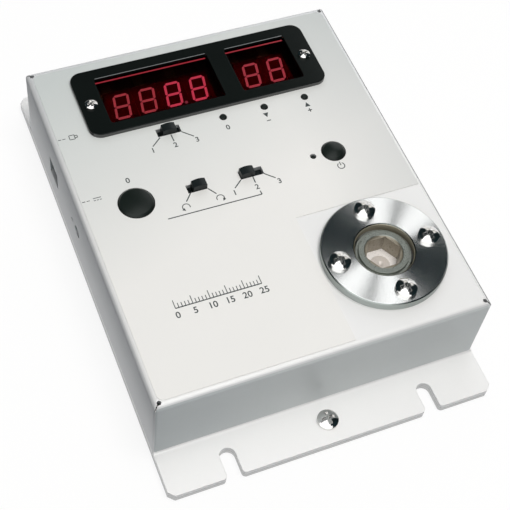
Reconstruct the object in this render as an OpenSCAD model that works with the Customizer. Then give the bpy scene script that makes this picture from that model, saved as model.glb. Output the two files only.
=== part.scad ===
// Torque tester: a folded sheet case with two foot flanges, a lit number display,
// push buttons, slide switches and a hex drive socket in a steel disc.
// Millimetres. The origin is the centre of the underside of the base plate,
// with X to the right, Y to the back and Z up.

/* [Case] */
// Width of the case and of the foot flanges
case_w = 150; // [146:1:180]
// Length of the case, front wall to back wall
case_l = 181; // [178:1:210]
// Height of the case above the bench
case_h = 45; // [45:0.5:60]
// Thickness of the folded cover sheet
sheet_t = 2.2; // [1.6:0.1:2.3]
// Thickness of the flat base plate
base_t = 2.6; // [2.3:0.1:4]
// Outer radius of the bends round the top
bend_r = 2.6; // [2.4:0.1:4]
// Radius of the inner bend where a wall turns out into a foot
foot_bend_r = 1; // [0.5:0.1:2]
// Rounding of the upright edges of the case
edge_r = 1.5; // [0.6:0.1:2.2]
// Diameter of the relief hole where two bends meet
relief_d = 1.8; // [1:0.1:2.4]
// Width of the seam that runs out from the relief hole
seam_w = 0.6; // [0.3:0.1:1]

/* [Feet] */
// Depth of each foot flange
foot_d = 20.5; // [18:0.5:30]
// Chamfer on the foot corners
foot_chamfer = 2.6; // [1:0.1:5]
// Width of the open bolt slots
slot_w = 7; // [5:0.1:9]
// Length of a slot from the foot's edge to the end of its arc
slot_l = 13; // [9:0.5:15]
// Distance between the two slots of a foot
slot_pitch = 92; // [60:1:110]
// Rounding at the mouth of a slot
slot_mouth_r = 1.8; // [0.5:0.1:3]
// Distance of the foot screw from the foot's edge
foot_screw_inset = 10.3; // [7:0.1:12]

/* [Panel overlay] */
// Thickness of the printed sheet
overlay_t = 0.3; // [0.2:0.05:0.5]
// Margin between the sheet and the side faces
overlay_side = 2.5; // [2:0.1:6]
// Margin between the sheet and the front and back faces
overlay_end = 3; // [2.5:0.1:6]
// Corner radius of the sheet
overlay_r = 3; // [1:0.1:5]
// Width of the bare field round the socket, from the side face
bare_w = 62.5; // [61:0.5:64]
// Length of the bare field round the socket, from the front face
bare_l = 66.9; // [65:0.1:70]

/* [Display] */
// Length of the bezel, front to back
bezel_l = 38.2; // [36:0.1:42]
// Height of the bezel above the printed sheet
bezel_h = 2.2; // [2:0.1:4]
// Corner radius of the bezel
bezel_r = 5.5; // [4:0.1:8]
// Width of the sloping rim of the bezel
bezel_slope = 0.3; // [0.2:0.1:1.5]
// Height of the sloping rim
bezel_slope_h = 0.3; // [0.2:0.1:1.5]
// Distance from the back face of the case to the bezel
bezel_back = 8.7; // [6:0.1:20]
// Room in the window on each side of the torque digits
torque_window_side = 2.7; // [2.3:0.1:3.2]
// Room in the window on each side of the time digits
time_window_side = 2.85; // [2.4:0.05:3.2]
// Length of both windows
window_l = 26.9; // [24:0.1:28]
// Frame left of the torque window
window_left = 10.6; // [10.2:0.1:11]
// Frame between the windows
window_mid = 8.8; // [8:0.1:9.2]
// Frame right of the time window
window_right = 10.1; // [9.8:0.1:12]
// Frame in front of the windows
window_front = 5.2; // [4:0.1:7]
// Corner radius of the windows
window_r = 1.2; // [0.5:0.1:3]
// Thickness of the bezel's face at the windows
bezel_face_t = 1.1; // [0.8:0.1:1.5]
// Distance of a bezel screw from the bezel's end
bezel_screw_side = 5.1; // [4.5:0.1:5.5]
// Distance of the bezel screws in front of the bezel's middle
bezel_screw_drop = 1.3; // [0:0.1:2]
// Thickness of the red filter
filter_t = 1.5; // [1:0.1:2]

/* [Digits] */
// Height of a lit digit
digit_h = 14.2; // [12:0.1:15]
// Width of a lit digit
digit_w = 7.6; // [6:0.1:8.5]
// Width of a lit bar
bar_w = 1.1; // [0.9:0.1:2]
// Lean of the digits in degrees
digit_lean = 10; // [0:1:12]
// Distance from one digit to the next
digit_pitch = 12.4; // [12:0.1:12.8]
// Length of a digit module
module_l = 19; // [18:0.5:20]
// Height of a digit module
module_h = 8; // [6.5:0.1:9]
// Distance of the digit faces below the printed sheet's top
digit_depth = 3.3; // [2.8:0.1:4]
// Distance of the digits in front of the window centre
digit_drop = 1.5; // [0:0.1:2.5]
// Thickness of the light windows of the bars
bar_t = 0.3; // [0.2:0.05:0.5]
// Diameter of a decimal point
point_d = 1.5; // [1:0.1:2]

/* [Buttons] */
// Diameter of the clear button
clear_d = 15.7; // [12:0.1:18]
// Distance of the clear button from the left face
clear_side = 24.9; // [23:0.1:27]
// Diameter of the power button
power_d = 10.8; // [8:0.1:12]
// Distance of the power button from the right face
power_side = 31.7; // [25:0.1:33]
// Height of a cap's rim above the printed sheet
cap_rise = 1; // [0.8:0.1:2.5]
// Height of a cap's crown above its rim
cap_crown = 0.9; // [0.3:0.1:1.2]
// Travel of the clear and power buttons
cap_travel = 1.5; // [1:0.1:1.7]
// Diameter of the small buttons
pin_d = 3; // [2:0.1:4]
// Height of the small buttons above the printed sheet
pin_rise = 0.7; // [0.6:0.1:2]
// Travel of the small buttons
pin_travel = 0.5; // [0.3:0.1:0.6]
// Distance of the first small button right of the centre
pin_right = 2.8; // [1:0.1:5]
// Distance from one small button to the next
pin_pitch = 20.25; // [18:0.05:21]
// Diameter of the recessed reset button
reset_d = 2.3; // [1.8:0.1:3]
// Depth of the reset button's face below the printed sheet's top
reset_sink = 0.8; // [0.3:0.1:1.2]
// Distance of the reset button left of the power button
reset_gap = 10; // [9.5:0.1:12]
// Distance from the bezel to the upper row of controls
upper_row_gap = 4.9; // [4.5:0.1:8]
// Distance from the upper row to the lower row
row_pitch = 33.6; // [28:0.1:34]

/* [Slide switches] */
// Width of a switch knob along its travel
knob_w = 6.3; // [5:0.1:7]
// Length of a switch knob across its travel
knob_l = 3.9; // [3:0.1:5]
// Height of a switch knob above the printed sheet
knob_rise = 3.4; // [2:0.1:4]
// Height of the crown on a knob
knob_crown = 0.7; // [0.3:0.1:1]
// Travel from one switch position to the next
switch_step = 2.1; // [1.5:0.1:2.5]
// Distance of the unit switch left of the centre
unit_left = 23.6; // [21:0.1:26]
// Place of the direction switch left of the centre, as a share of the half width
direction_share = 0.3; // [0.28:0.01:0.32]
// Distance of the mode switch right of the centre
mode_right = 3.1; // [1:0.1:5]

/* [Drive socket] */
// Diameter of the steel disc
disc_d = 55; // [52:0.5:60]
// Thickness of the disc
disc_t = 4.2; // [3:0.1:6]
// Chamfer on the disc's rim
disc_chamfer = 0.5; // [0.2:0.1:1]
// Diameter of the disc's bore
disc_bore_d = 26; // [24:0.1:27]
// Distance of the socket's axis from the side face
disc_side = 34.1; // [33:0.1:36]
// Distance of the socket's axis from the front face
disc_front = 37.5; // [36:0.1:39]
// Distance of the disc's screws outside the middle of its ring
disc_screw_out = 0.75; // [0:0.05:1]
// Diameter of the socket's head
socket_d = 22; // [20:0.1:23]
// Depth of the socket's face below the disc's top
socket_sink = 1.8; // [0.5:0.1:3]
// Width across the flats of the hex socket
hex_af = 14.2; // [10:0.1:15]
// Depth of the hex socket
hex_depth = 10; // [8:0.5:12]
// Chamfer at the mouth of the hex socket
hex_chamfer = 0.7; // [0.2:0.1:1]
// Height of the socket's head
head_h = 15; // [13:0.5:16]
// Width of the square torsion bar below the head
torsion_w = 12; // [8:0.5:14]
// Depth of the step round the socket's face
socket_step = 1.2; // [0.8:0.1:2]
// Gap between the step and the bore of the disc
socket_gap = 0.8; // [0.6:0.1:1]
// Diameter of the drill mark in the floor of the hex socket
drill_d = 9; // [7:0.1:11]
// Depth of the drill mark
drill_depth = 0.6; // [0.4:0.1:1]
// Gap between the socket's foot and the housing
foot_gap = 1; // [0.8:0.1:2]
// Thickness of the socket's foot
socket_foot_t = 7; // [5:0.5:9]
// Inset of the housing round the torsion bar from the edge of the disc
housing_inset = 0.5; // [0.3:0.1:1]
// Wall thickness of that housing
housing_wall = 5.5; // [5:0.1:6]
// Thickness of the housing's top ring
housing_top_t = 6; // [4:0.5:8]

/* [Fasteners] */
// Diameter of the large pan screws
m5_d = 5; // [4:0.1:5.5]
// Head diameter of the large pan screws
m5_head_d = 9.3; // [8:0.1:10]
// Head height of the large pan screws
m5_head_h = 3; // [2.5:0.1:4]
// Diameter of the transducer screws
m4_d = 4; // [3.5:0.1:4.2]
// Head diameter of the transducer screws
m4_head_d = 7.5; // [6.5:0.1:7.8]
// Diameter of the small screws
m3_d = 3; // [2.5:0.1:3.2]
// Head diameter of the small pan screws
m3_head_d = 5.7; // [5:0.1:6]
// Head height of the small pan screws
m3_head_h = 1.9; // [1.4:0.1:2.2]
// Head diameter of the small countersunk screws
m3_flat_d = 5.6; // [5:0.1:6]

/* [Boards] */
// Thickness of the circuit boards
board_t = 1.6; // [1.2:0.1:2]
// Room between the main board and the inside of the right wall
board_right = 16.6; // [15:0.1:18]
// Room on the main board in front of the power jack
jack_ahead = 10.6; // [9:0.1:12]
// Height of the posts under the main board
main_post_h = 13.5; // [11:0.1:14]
// Distance of the front board from the side faces
front_side = 7; // [6:0.1:7.5]
// Width across the flats of the main posts
main_post_af = 6; // [5:0.1:7]
// Width across the flats of the panel posts
panel_post_af = 5.5; // [5:0.1:6]
// Inset of a board's screws from its corners
board_screw_inset = 5; // [4:0.1:6]

/* [Side sockets] */
// Distance of the data port from the back face
usb_back = 42.5; // [38:0.1:46]
// Width of the data port's shell
usb_w = 12; // [11:0.1:13]
// Height of the data port's shell
usb_h = 11; // [10:0.1:12]
// Depth of the data port's shell
usb_l = 16; // [14:0.1:18]
// Height of the port's hole in the case wall
usb_hole_h = 10; // [9:0.1:11]
// Distance of the power jack from the back face
dc_back = 78.1; // [76:0.1:79]
// Height of the jack's axis above the main board
dc_axis_h = 7.3; // [6:0.1:8]
// Diameter of the jack's bore
dc_bore_d = 6; // [5.9:0.1:6.6]
// Diameter of the jack's pin
dc_pin_d = 2; // [1.3:0.1:2.5]
// Distance of the charge lamp from the back face
lamp_back = 71.1; // [69:0.1:71.5]
// Diameter of the charge lamp
lamp_d = 2; // [1.5:0.1:3]

/* [Battery] */
// Diameter of a battery cell
cell_d = 14.2; // [12:0.1:14.4]
// Length of a battery cell
cell_l = 50; // [44:0.1:51]
// Least gap between the battery tray and the housing
tray_gap = 1.5; // [1:0.1:3]
// Thickness of the battery tray
tray_t = 1; // [0.8:0.1:1.5]
// Distance of the tray from the left face
tray_side = 5.2; // [4:0.1:6]
// Distance of the tray from the front face
tray_front = 8; // [6:0.5:9]

/* [Hidden] */

// Round shapes are drawn with this many sides
$fn = 72;

// Overrun of every cut past the face that it opens
cut = 1;

// Clearances
hole_gap = 0.25; // radial, screw in a plain hole
tap_gap = 0.05; // radial, screw in a tapped hole
rest_gap = 0.3; // between a moving piece and what it rests near
fit_gap = 0.2; // bezel skirt in the panel opening
filter_gap = 0.1; // filter in the bezel
head_gap = 0.2; // countersunk head below the surface

// Heights
floor_z = base_t;
foot_top_z = base_t + sheet_t;
inner_z = case_h - sheet_t;
panel_z = case_h + overlay_t;
bezel_z = panel_z + bezel_h;
disc_z = case_h + disc_t;
main_top_z = floor_z + main_post_h + board_t;
front_top_z = panel_z - digit_depth - module_h;
front_under_z = front_top_z - board_t;

// Faces of the case
side_x = case_w / 2;
end_y = case_l / 2;
edge_y = end_y + foot_d;

// Display
bezel_y = end_y - bezel_back - bezel_l / 2;
bezel_front_y = bezel_y - bezel_l / 2;
window_y = bezel_front_y + window_front + window_l / 2;
bezel_screw_y = bezel_y - bezel_screw_drop;
torque_count = 4;
time_count = 2;
torque_window_w = torque_count * digit_pitch + 2 * torque_window_side;
time_window_w = time_count * digit_pitch + 2 * time_window_side;
bezel_w = window_left + torque_window_w + window_mid + time_window_w + window_right;
bezel_screw_pitch = bezel_w - 2 * bezel_screw_side;
torque_x = -bezel_w / 2 + window_left + torque_window_w / 2;
time_x = torque_x + torque_window_w / 2 + window_mid + time_window_w / 2;
digit_y = window_y - digit_drop;
windows_w = torque_window_w + window_mid + time_window_w;
windows_x = torque_x - torque_window_w / 2 + windows_w / 2;
filter_lip = 0.9;
skirt_t = 1;
pocket_margin = filter_lip + filter_gap;
skirt_margin = pocket_margin + skirt_t;
opening_margin = skirt_margin + fit_gap;
lit_point_place = 2;
spare_point_places = [0, 1, 3];
module_gap = 0.1;
bar_gap = 0.25;
point_out = 1.4;

// Rows of controls
upper_y = bezel_front_y - upper_row_gap;
lower_y = upper_y - row_pitch;

// Push buttons
clear_x = clear_side - side_x;
power_x = side_x - power_side;
reset_x = power_x - reset_gap;
cap_bevel = 0.9;
collar_lip = 1.2;
collar_t = 1.2;
stem_gap = 0.3;
cap_stem_d = 5;
cap_switch_w = 12;
cap_switch_h = 4.5;
switch_floor_t = 0.6;
pin_bevel = 0.2;
pin_lip = 0.7;
pin_stem_d = 2.2;
tact_w = 6;
tact_h = 4.5;
button_gap = rest_gap;
spring_wire = 0.5;
spring_d = 8;
spring_turns = 2.5;
spring_sides = 6;
spring_steps = 18;

// Slide switches
direction_x = -direction_share * side_x;
knob_gap = 0.25;
stop_gap = 0.3;
shoe_t = 0.8;
shoe_lap = 0.6;
tongue_w = 3;
tongue_l = 2;
tongue_h = 2;
switch_l = 6.6;
switch_end = 1.5;

// Drive socket
disc_x = side_x - disc_side;
disc_y = disc_front - end_y;
socket_top_z = disc_z - socket_sink;
head_z = socket_top_z - head_h;
socket_foot_z = floor_z + socket_foot_t;
torsion_mid_z = (head_z + socket_foot_z) / 2;
neck_h = 3.5;
foot_tap_l = 6.2;
housing_d = disc_d - 2 * housing_inset;
housing_bore_d = housing_d - 2 * housing_wall;
socket_foot_d = housing_bore_d - 2 * foot_gap;
socket_step_d = disc_bore_d - 2 * socket_gap;
disc_screw_pcd = (disc_d + disc_bore_d) / 2 + 2 * disc_screw_out;
foot_screw_pcd = (socket_foot_d + torsion_w / cos(45)) / 2;
housing_screw_pcd = (housing_d + housing_bore_d) / 2;
gauge_w = 4;
gauge_l = 7;
gauge_t = 0.3;

// Screw details
cross_share = 0.62;
cross_w_share = 0.17;
cross_deep_share = 0.6;
dome_share = 0.55;
bezel_screw_l = 7.5;
board_screw_l = 6;
base_screw_l = 7;
transducer_screw_l = 8;
disc_screw_l = 10;

// Boards
main_left = 1; // board's edge to the inside of the left wall
main_board_w = case_w - 2 * sheet_t - main_left - board_right;
front_board_w = case_w - 2 * front_side;
main_x = main_board_w / 2 - side_x + sheet_t + main_left;
main_back = 5; // board's edge to the inside of the back wall
dc_w = 9; // width of the power jack's body
main_board_l = dc_back + dc_w / 2 + jack_ahead - sheet_t - main_back;
main_y = end_y - sheet_t - main_back - main_board_l / 2;
front_ahead = 9; // board's edge ahead of the lower row
front_behind = 6.5; // board's edge to the back face
front_y0 = lower_y - front_ahead;
front_y1 = end_y - front_behind;
front_l = front_y1 - front_y0;
front_y = (front_y0 + front_y1) / 2;
header_w = 0.39 * main_board_w;
header_l = 5;
header_ahead = 16;

// Cables and connectors
cable_w = 6;
cable_t = 0.8;
cable_gap = 0.8; // each side of the cable where it leaves the housing
plug_w = 9;
plug_l = 6;

// Side sockets
usb_y = end_y - usb_back;
usb_z = main_top_z + usb_h / 2;
usb_face_w = 8.5;
usb_face_h = 7.8;
usb_tongue_w = 5.6;
usb_tongue_h = 3.2;
usb_back_t = 2;
usb_sink = 2.6;
dc_y = end_y - dc_back;
dc_z = main_top_z + dc_axis_h;
dc_h = 11;
dc_l = 13;
dc_bore_l = 11;
dc_pin_sink = 2.4;
lamp_y = end_y - lamp_back;
lamp_z = dc_z;
lamp_gap = 0.1;
lamp_block_w = 3;
lamp_block_l = 3.5;
lamp_sink = 0.3; // lens tip behind the face of the case

// Battery
cell_gap = 0.3;
cell_nub_d = 5;
cell_nub_h = 0.8;
tray_room = disc_x - housing_d / 2 - tray_gap + side_x - tray_side;
cell_count = floor((tray_room - cell_gap - 2 * tray_t) / (cell_d + cell_gap));
tray_w = cell_count * (cell_d + cell_gap) + cell_gap + 2 * tray_t;
tray_l = cell_l + cell_nub_h + 2 * rest_gap + 2 * tray_t;
tray_wall_h = 11;
tray_x = tray_side + tray_w / 2 - side_x;
tray_y = tray_front + tray_l / 2 - end_y;
tab_w = 9;
battery_cable_z = main_top_z + cable_w / 2;
tray_screw_x = tray_w / 4;

// Shared shapes

module round_rect(w, l, r) {
    square([w - 2 * r, l], center = true);
    square([w, l - 2 * r], center = true);
    for (x = [-1, 1], y = [-1, 1])
        translate([x * (w / 2 - r), y * (l / 2 - r)]) circle(r);
}

// The region between a square corner at the origin and a quarter circle inside it
module corner_web(r) {
    difference() {
        square(r);
        translate([r, r]) circle(r);
    }
}

module block(w, l, h) {
    translate([0, 0, h / 2]) cube([w, l, h], center = true);
}

// Extrude an outline drawn in Y and Z along X, or in X and Z along Y
module along_x(w) { rotate([90, 0, 90]) linear_extrude(w, center = true) children(); }
module along_y(l) { rotate([90, 0, 0]) linear_extrude(l, center = true) children(); }

// A plate with round corners and a sloping rim round its top
module sloped_plate(w, l, h, r, slope, slope_h) {
    top = h - slope_h;
    linear_extrude(top) round_rect(w, l, r);
    translate([0, 0, top]) {
        along_x(w - 2 * r) sloped_face(l, slope, slope_h);
        along_y(l - 2 * r) sloped_face(w, slope, slope_h);
        for (x = [-1, 1], y = [-1, 1])
            translate([x * (w / 2 - r), y * (l / 2 - r), 0]) cylinder(slope_h, r, r - slope);
    }
}

module sloped_face(w, slope, h) {
    polygon([[-w / 2, 0], [w / 2, 0], [w / 2 - slope, h], [slope - w / 2, h]]);
}

// A low dome of diameter d and height h, standing on z = 0
module dome(d, h) {
    r = (d * d / 4 + h * h) / (2 * h);
    intersection() {
        cylinder(h, d = d);
        translate([0, 0, h - r]) sphere(r);
    }
}

module cross_cut(head_d, deep) {
    w = head_d * cross_w_share;
    for (a = [0, 90])
        rotate([0, 0, a]) translate([0, 0, -deep]) block(head_d * cross_share, w, deep + cut);
}

// A pan head screw whose head sits on z = 0 with its shank below
module pan_screw(d, head_d, head_h, shank_l) {
    crown = head_h * dome_share;
    difference() {
        union() {
            cylinder(head_h - crown, d = head_d);
            translate([0, 0, head_h - crown]) dome(head_d, crown);
        }
        translate([0, 0, head_h]) cross_cut(head_d, head_h * cross_deep_share);
    }
    translate([0, 0, -shank_l]) cylinder(shank_l, d = d);
}

// A countersunk screw that points up, with its head's face on z = 0
module flat_screw(d, head_d, shank_l) {
    cone_h = (head_d - d) / 2;
    difference() {
        union() {
            cylinder(cone_h, d1 = head_d, d2 = d);
            cylinder(shank_l, d = d);
        }
        mirror([0, 0, 1]) cross_cut(head_d, cone_h * cross_deep_share);
    }
}

// The hole for that screw, cut from below through a plate that lies on z = 0
module flat_screw_hole(d, head_d, plate_t) {
    gap = hole_gap;
    wide = head_d + 2 * gap;
    narrow = d + 2 * gap;
    translate([0, 0, -cut]) cylinder(plate_t + 2 * cut, d = narrow);
    translate([0, 0, -cut]) cylinder(cut + head_gap, d = wide);
    translate([0, 0, head_gap]) cylinder((wide - narrow) / 2, d1 = wide, d2 = narrow);
}

module hex_post(af, h, bore_d) {
    difference() {
        cylinder(h, d = af / cos(30), $fn = 6);
        translate([0, 0, -cut]) cylinder(h + 2 * cut, d = bore_d);
    }
}

// Places

module at_disc() { translate([disc_x, disc_y, 0]) children(); }

module at_feet() {
    for (side = [0, 1]) mirror([0, side, 0]) children();
}

module ring_of(n, pcd, first) {
    for (i = [0 : n - 1]) rotate([0, 0, first + i * 360 / n]) translate([pcd / 2, 0, 0]) children();
}

module at_main_screws() {
    for (x = [-1, 1], y = [-1, 1])
        translate([
            main_x + x * (main_board_w / 2 - board_screw_inset),
            main_y + y * (main_board_l / 2 - board_screw_inset),
            0
        ]) children();
}

module at_front_screws() {
    for (x = [-1, 1], y = [-1, 1])
        translate([
            x * (front_board_w / 2 - board_screw_inset),
            front_y + y * (front_l / 2 - board_screw_inset),
            0
        ]) children();
}

module at_tray_screws() {
    for (x = [-1, 1]) translate([tray_x + x * tray_screw_x, tray_y, 0]) children();
}

// Outlines of the case

// Foot print with chamfered corners and the four open bolt slots
module foot_print() {
    difference() {
        polygon([for (c = [[1, 1], [-1, 1], [-1, -1], [1, -1]], k = c[0] * c[1] > 0 ? [0, 1] : [1, 0])
            [c[0] * (side_x - k * foot_chamfer), c[1] * (edge_y - (1 - k) * foot_chamfer)]]);
        at_feet()
            for (x = [-1, 1]) translate([x * slot_pitch / 2, -edge_y]) foot_slot();
    }
}

module foot_slot() {
    r = slot_w / 2;
    arc_y = slot_l - r;
    translate([0, arc_y]) circle(r);
    translate([-r, -cut]) square([slot_w, arc_y + cut]);
    for (side = [0, 1]) mirror([side, 0]) translate([r, 0]) corner_web(slot_mouth_r);
}

// Section of the cover along its length: a hat with its feet turned outwards
module hat_outer() {
    rise = case_h - base_t;
    translate([0, base_t]) {
        translate([-edge_y, 0]) square([2 * edge_y, sheet_t]);
        translate([-end_y, 0]) square([case_l, rise - bend_r]);
        translate([bend_r - end_y, rise - 2 * bend_r]) square([case_l - 2 * bend_r, 2 * bend_r]);
        for (y = [-1, 1]) translate([y * (end_y - bend_r), rise - bend_r]) circle(bend_r);
        for (side = [0, 1])
            mirror([side, 0]) translate([end_y, sheet_t]) corner_web(foot_bend_r);
    }
}

module hat_inner() {
    inner_y = end_y - sheet_t;
    r = bend_r - sheet_t;
    flare = foot_bend_r + sheet_t;
    translate([-inner_y, base_t - cut]) square([2 * inner_y, inner_z - base_t + cut - r]);
    translate([r - inner_y, inner_z - 2 * r]) square([2 * (inner_y - r), 2 * r]);
    for (y = [-1, 1]) translate([y * (inner_y - r), inner_z - r]) circle(r);
    for (side = [0, 1])
        mirror([side, 0]) translate([inner_y, base_t]) corner_web(flare);
}

// Section of the cover across its width, between two side walls
module arch(w, top, bottom, r) {
    translate([-w / 2, bottom]) square([w, top - bottom - r]);
    translate([r - w / 2, top - 2 * r]) square([w - 2 * r, 2 * r]);
    for (x = [-1, 1]) translate([x * (w / 2 - r), top - r]) circle(r);
}

// Openings of the panel, cut through the cover and the printed sheet alike
module panel_openings() {
    translate([windows_x, window_y])
        square([windows_w + 2 * opening_margin, window_l + 2 * opening_margin], center = true);
    for (x = [-1, 1]) translate([x * bezel_screw_pitch / 2, bezel_screw_y]) circle(d = m3_d + 2 * tap_gap);
    translate([clear_x, lower_y]) circle(d = clear_d + 2 * button_gap);
    translate([power_x, lower_y]) circle(d = power_d + 2 * button_gap);
    translate([reset_x, lower_y]) circle(d = reset_d + 2 * button_gap);
    for (i = [0 : 2]) translate([pin_right + i * pin_pitch, upper_y]) circle(d = pin_d + 2 * button_gap);
    translate([-unit_left, upper_y]) knob_window(2);
    translate([direction_x, lower_y]) knob_window(1);
    translate([mode_right, lower_y]) knob_window(2);
}

module knob_window(steps) {
    square([knob_w + steps * switch_step + 2 * stop_gap, knob_l + 2 * knob_gap], center = true);
}

// Case

module cover() {
    color("silver")
    difference() {
        intersection() {
            along_x(case_w) hat_outer();
            along_y(2 * edge_y) arch(case_w, case_h, 0, bend_r);
            linear_extrude(case_h) foot_print();
        }
        intersection() {
            along_x(case_w - 2 * sheet_t) hat_inner();
            along_y(2 * edge_y) arch(case_w - 2 * sheet_t, inner_z, 0, bend_r - sheet_t);
        }
        upright_edges();
        translate([0, 0, inner_z - cut]) linear_extrude(sheet_t + 2 * cut) panel_openings();
        at_disc() translate([0, 0, inner_z - cut]) {
            cylinder(sheet_t + 2 * cut, d = disc_bore_d);
            ring_of(4, disc_screw_pcd, 0) cylinder(sheet_t + 2 * cut, d = m5_d + 2 * hole_gap);
        }
        at_feet() translate([0, foot_screw_inset - edge_y, 0])
            cylinder(foot_top_z + cut, d = m5_d + 2 * hole_gap);
        side_openings();
    }
}

// Rounding of the upright edges, and the relief at the corners of the top bends
module upright_edges() {
    web_h = case_h - foot_top_z;
    for (x = [0, 1], y = [0, 1]) mirror([x, 0, 0]) mirror([0, y, 0]) {
        translate([-side_x, -end_y, foot_top_z]) linear_extrude(web_h + cut) corner_web(edge_r);
        translate([bend_r - side_x, bend_r - end_y, case_h - bend_r]) {
            cylinder(bend_r + cut, d = relief_d);
            rotate([0, 0, 45])
                translate([-2 * bend_r, -seam_w / 2, 0]) cube([2 * bend_r, seam_w, bend_r + cut]);
        }
    }
}

module side_openings() {
    wall = sheet_t + 2 * cut;
    translate([-side_x - cut, usb_y, usb_z])
        translate([0, -usb_w / 2, -usb_hole_h / 2]) cube([wall, usb_w, usb_hole_h]);
    translate([-side_x - cut, dc_y, dc_z]) rotate([0, 90, 0]) cylinder(wall, d = dc_bore_d);
    translate([-side_x - cut, lamp_y, lamp_z])
        rotate([0, 90, 0]) cylinder(wall, d = lamp_d + 2 * lamp_gap);
}

module base_plate() {
    color("lightgray")
    difference() {
        linear_extrude(base_t) foot_print();
        at_feet() translate([0, foot_screw_inset - edge_y, -cut])
            cylinder(base_t + 2 * cut, d = m5_d + 2 * tap_gap);
        at_main_screws() flat_screw_hole(m3_d, m3_flat_d, base_t);
        at_tray_screws() flat_screw_hole(m3_d, m3_flat_d, base_t);
        at_disc() {
            ring_of(4, foot_screw_pcd, 0) flat_screw_hole(m4_d, m4_head_d, base_t);
            ring_of(4, housing_screw_pcd, 45) flat_screw_hole(m4_d, m4_head_d, base_t);
        }
    }
}

module flange_screws() {
    color("whitesmoke")
    at_feet() translate([0, foot_screw_inset - edge_y, foot_top_z])
        pan_screw(m5_d, m5_head_d, m5_head_h, foot_top_z - head_gap);
}

module panel_overlay() {
    w = case_w - 2 * overlay_side;
    l = case_l - 2 * overlay_end;
    color("gainsboro")
    translate([0, 0, case_h]) linear_extrude(overlay_t) difference() {
        round_rect(w, l, overlay_r);
        translate([side_x - bare_w, -end_y]) square([bare_w, bare_l]);
        panel_openings();
    }
}

// Display

module bezel_windows(margin, r) {
    translate([torque_x, window_y])
        round_rect(torque_window_w + 2 * margin, window_l + 2 * margin, r);
    translate([time_x, window_y])
        round_rect(time_window_w + 2 * margin, window_l + 2 * margin, r);
}

module bezel_field(margin) {
    translate([windows_x, window_y])
        square([windows_w + 2 * margin, window_l + 2 * margin], center = true);
}

module display_bezel() {
    face_z = bezel_z - bezel_face_t;
    color("#1b1f1d")
    difference() {
        union() {
            translate([0, bezel_y, panel_z])
                sloped_plate(bezel_w, bezel_l, bezel_h, bezel_r, bezel_slope, bezel_slope_h);
            translate([0, 0, inner_z])
                linear_extrude(panel_z - inner_z) bezel_field(skirt_margin);
        }
        translate([0, 0, inner_z - cut])
            linear_extrude(face_z - inner_z + cut) bezel_field(pocket_margin);
        translate([0, 0, face_z - cut])
            linear_extrude(bezel_face_t + 2 * cut) bezel_windows(0, window_r);
        for (x = [-1, 1])
            translate([x * bezel_screw_pitch / 2, bezel_screw_y, panel_z - cut])
                cylinder(bezel_h + 2 * cut, d = m3_d + 2 * hole_gap);
    }
}

module bezel_screws() {
    color("gainsboro")
    for (x = [-1, 1])
        translate([x * bezel_screw_pitch / 2, bezel_screw_y, bezel_z])
            pan_screw(m3_d, m3_head_d, m3_head_h, bezel_screw_l);
}

module red_filter() {
    color([0.45, 0.02, 0.05, 0.5])
    translate([0, 0, bezel_z - bezel_face_t - filter_t])
        linear_extrude(filter_t) bezel_field(filter_lip);
}

// Digits

// Shift of a point that lies y above the middle of a leaning digit
function lean(y) = y * tan(digit_lean);

// One bar between two ends, with pointed tips, in a leaning digit
module bar(x0, y0, x1, y1) {
    half = bar_w / 2;
    dx = sign(x1 - x0);
    dy = sign(y1 - y0);
    points = [
        [x0 + dx * bar_gap, y0 + dy * bar_gap],
        [x0 + dx * (bar_gap + half) - dy * half, y0 + dy * (bar_gap + half) + dx * half],
        [x1 - dx * (bar_gap + half) - dy * half, y1 - dy * (bar_gap + half) + dx * half],
        [x1 - dx * bar_gap, y1 - dy * bar_gap],
        [x1 - dx * (bar_gap + half) + dy * half, y1 - dy * (bar_gap + half) - dx * half],
        [x0 + dx * (bar_gap + half) + dy * half, y0 + dy * (bar_gap + half) - dx * half]
    ];
    polygon([for (p = points) [p[0] + lean(p[1]), p[1]]]);
}

module seven_bars() {
    x = (digit_w - bar_w) / 2;
    y = (digit_h - bar_w) / 2;
    for (level = [-y, 0, y]) bar(-x, level, x, level);
    for (side = [-x, x]) {
        bar(side, -y, side, 0);
        bar(side, 0, side, y);
    }
}

module decimal_point() {
    y = (point_d - digit_h) / 2;
    translate([digit_w / 2 + point_out + lean(y), y]) circle(d = point_d);
}

module at_digits(x, count, places) {
    for (i = places)
        translate([x + (i - (count - 1) / 2) * digit_pitch, digit_y, 0]) children();
}

module digit_modules(x, count) {
    color("#3a1418")
    translate([0, 0, front_top_z]) at_digits(x, count, [0 : count - 1])
        block(digit_pitch - module_gap, module_l, module_h);
}

// Light windows lie face to face on the digit modules
module light_windows() {
    translate([0, 0, front_top_z + module_h]) linear_extrude(bar_t) children();
}

module lit_bars(x, count) {
    color("#ff3048") light_windows() at_digits(x, count, [0 : count - 1]) seven_bars();
}

module torque_digits() { digit_modules(torque_x, torque_count); }

module torque_bars() {
    lit_bars(torque_x, torque_count);
    color("#ff3048") light_windows() at_digits(torque_x, torque_count, lit_point_place) decimal_point();
}

module time_digits() { digit_modules(time_x, time_count); }

module time_bars() { lit_bars(time_x, time_count); }

// The decimal points that stay dark
module spare_points() {
    color("#4a1a1e") light_windows() {
        at_digits(torque_x, torque_count, spare_point_places) decimal_point();
        at_digits(time_x, time_count, [0 : time_count - 1]) decimal_point();
    }
}

// Front board and its posts

module front_board() {
    color("darkgreen")
    difference() {
        translate([0, front_y, front_under_z]) block(front_board_w, front_l, board_t);
        at_front_screws() translate([0, 0, front_under_z - cut])
            cylinder(board_t + 2 * cut, d = m3_d + 2 * hole_gap);
    }
}

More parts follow.
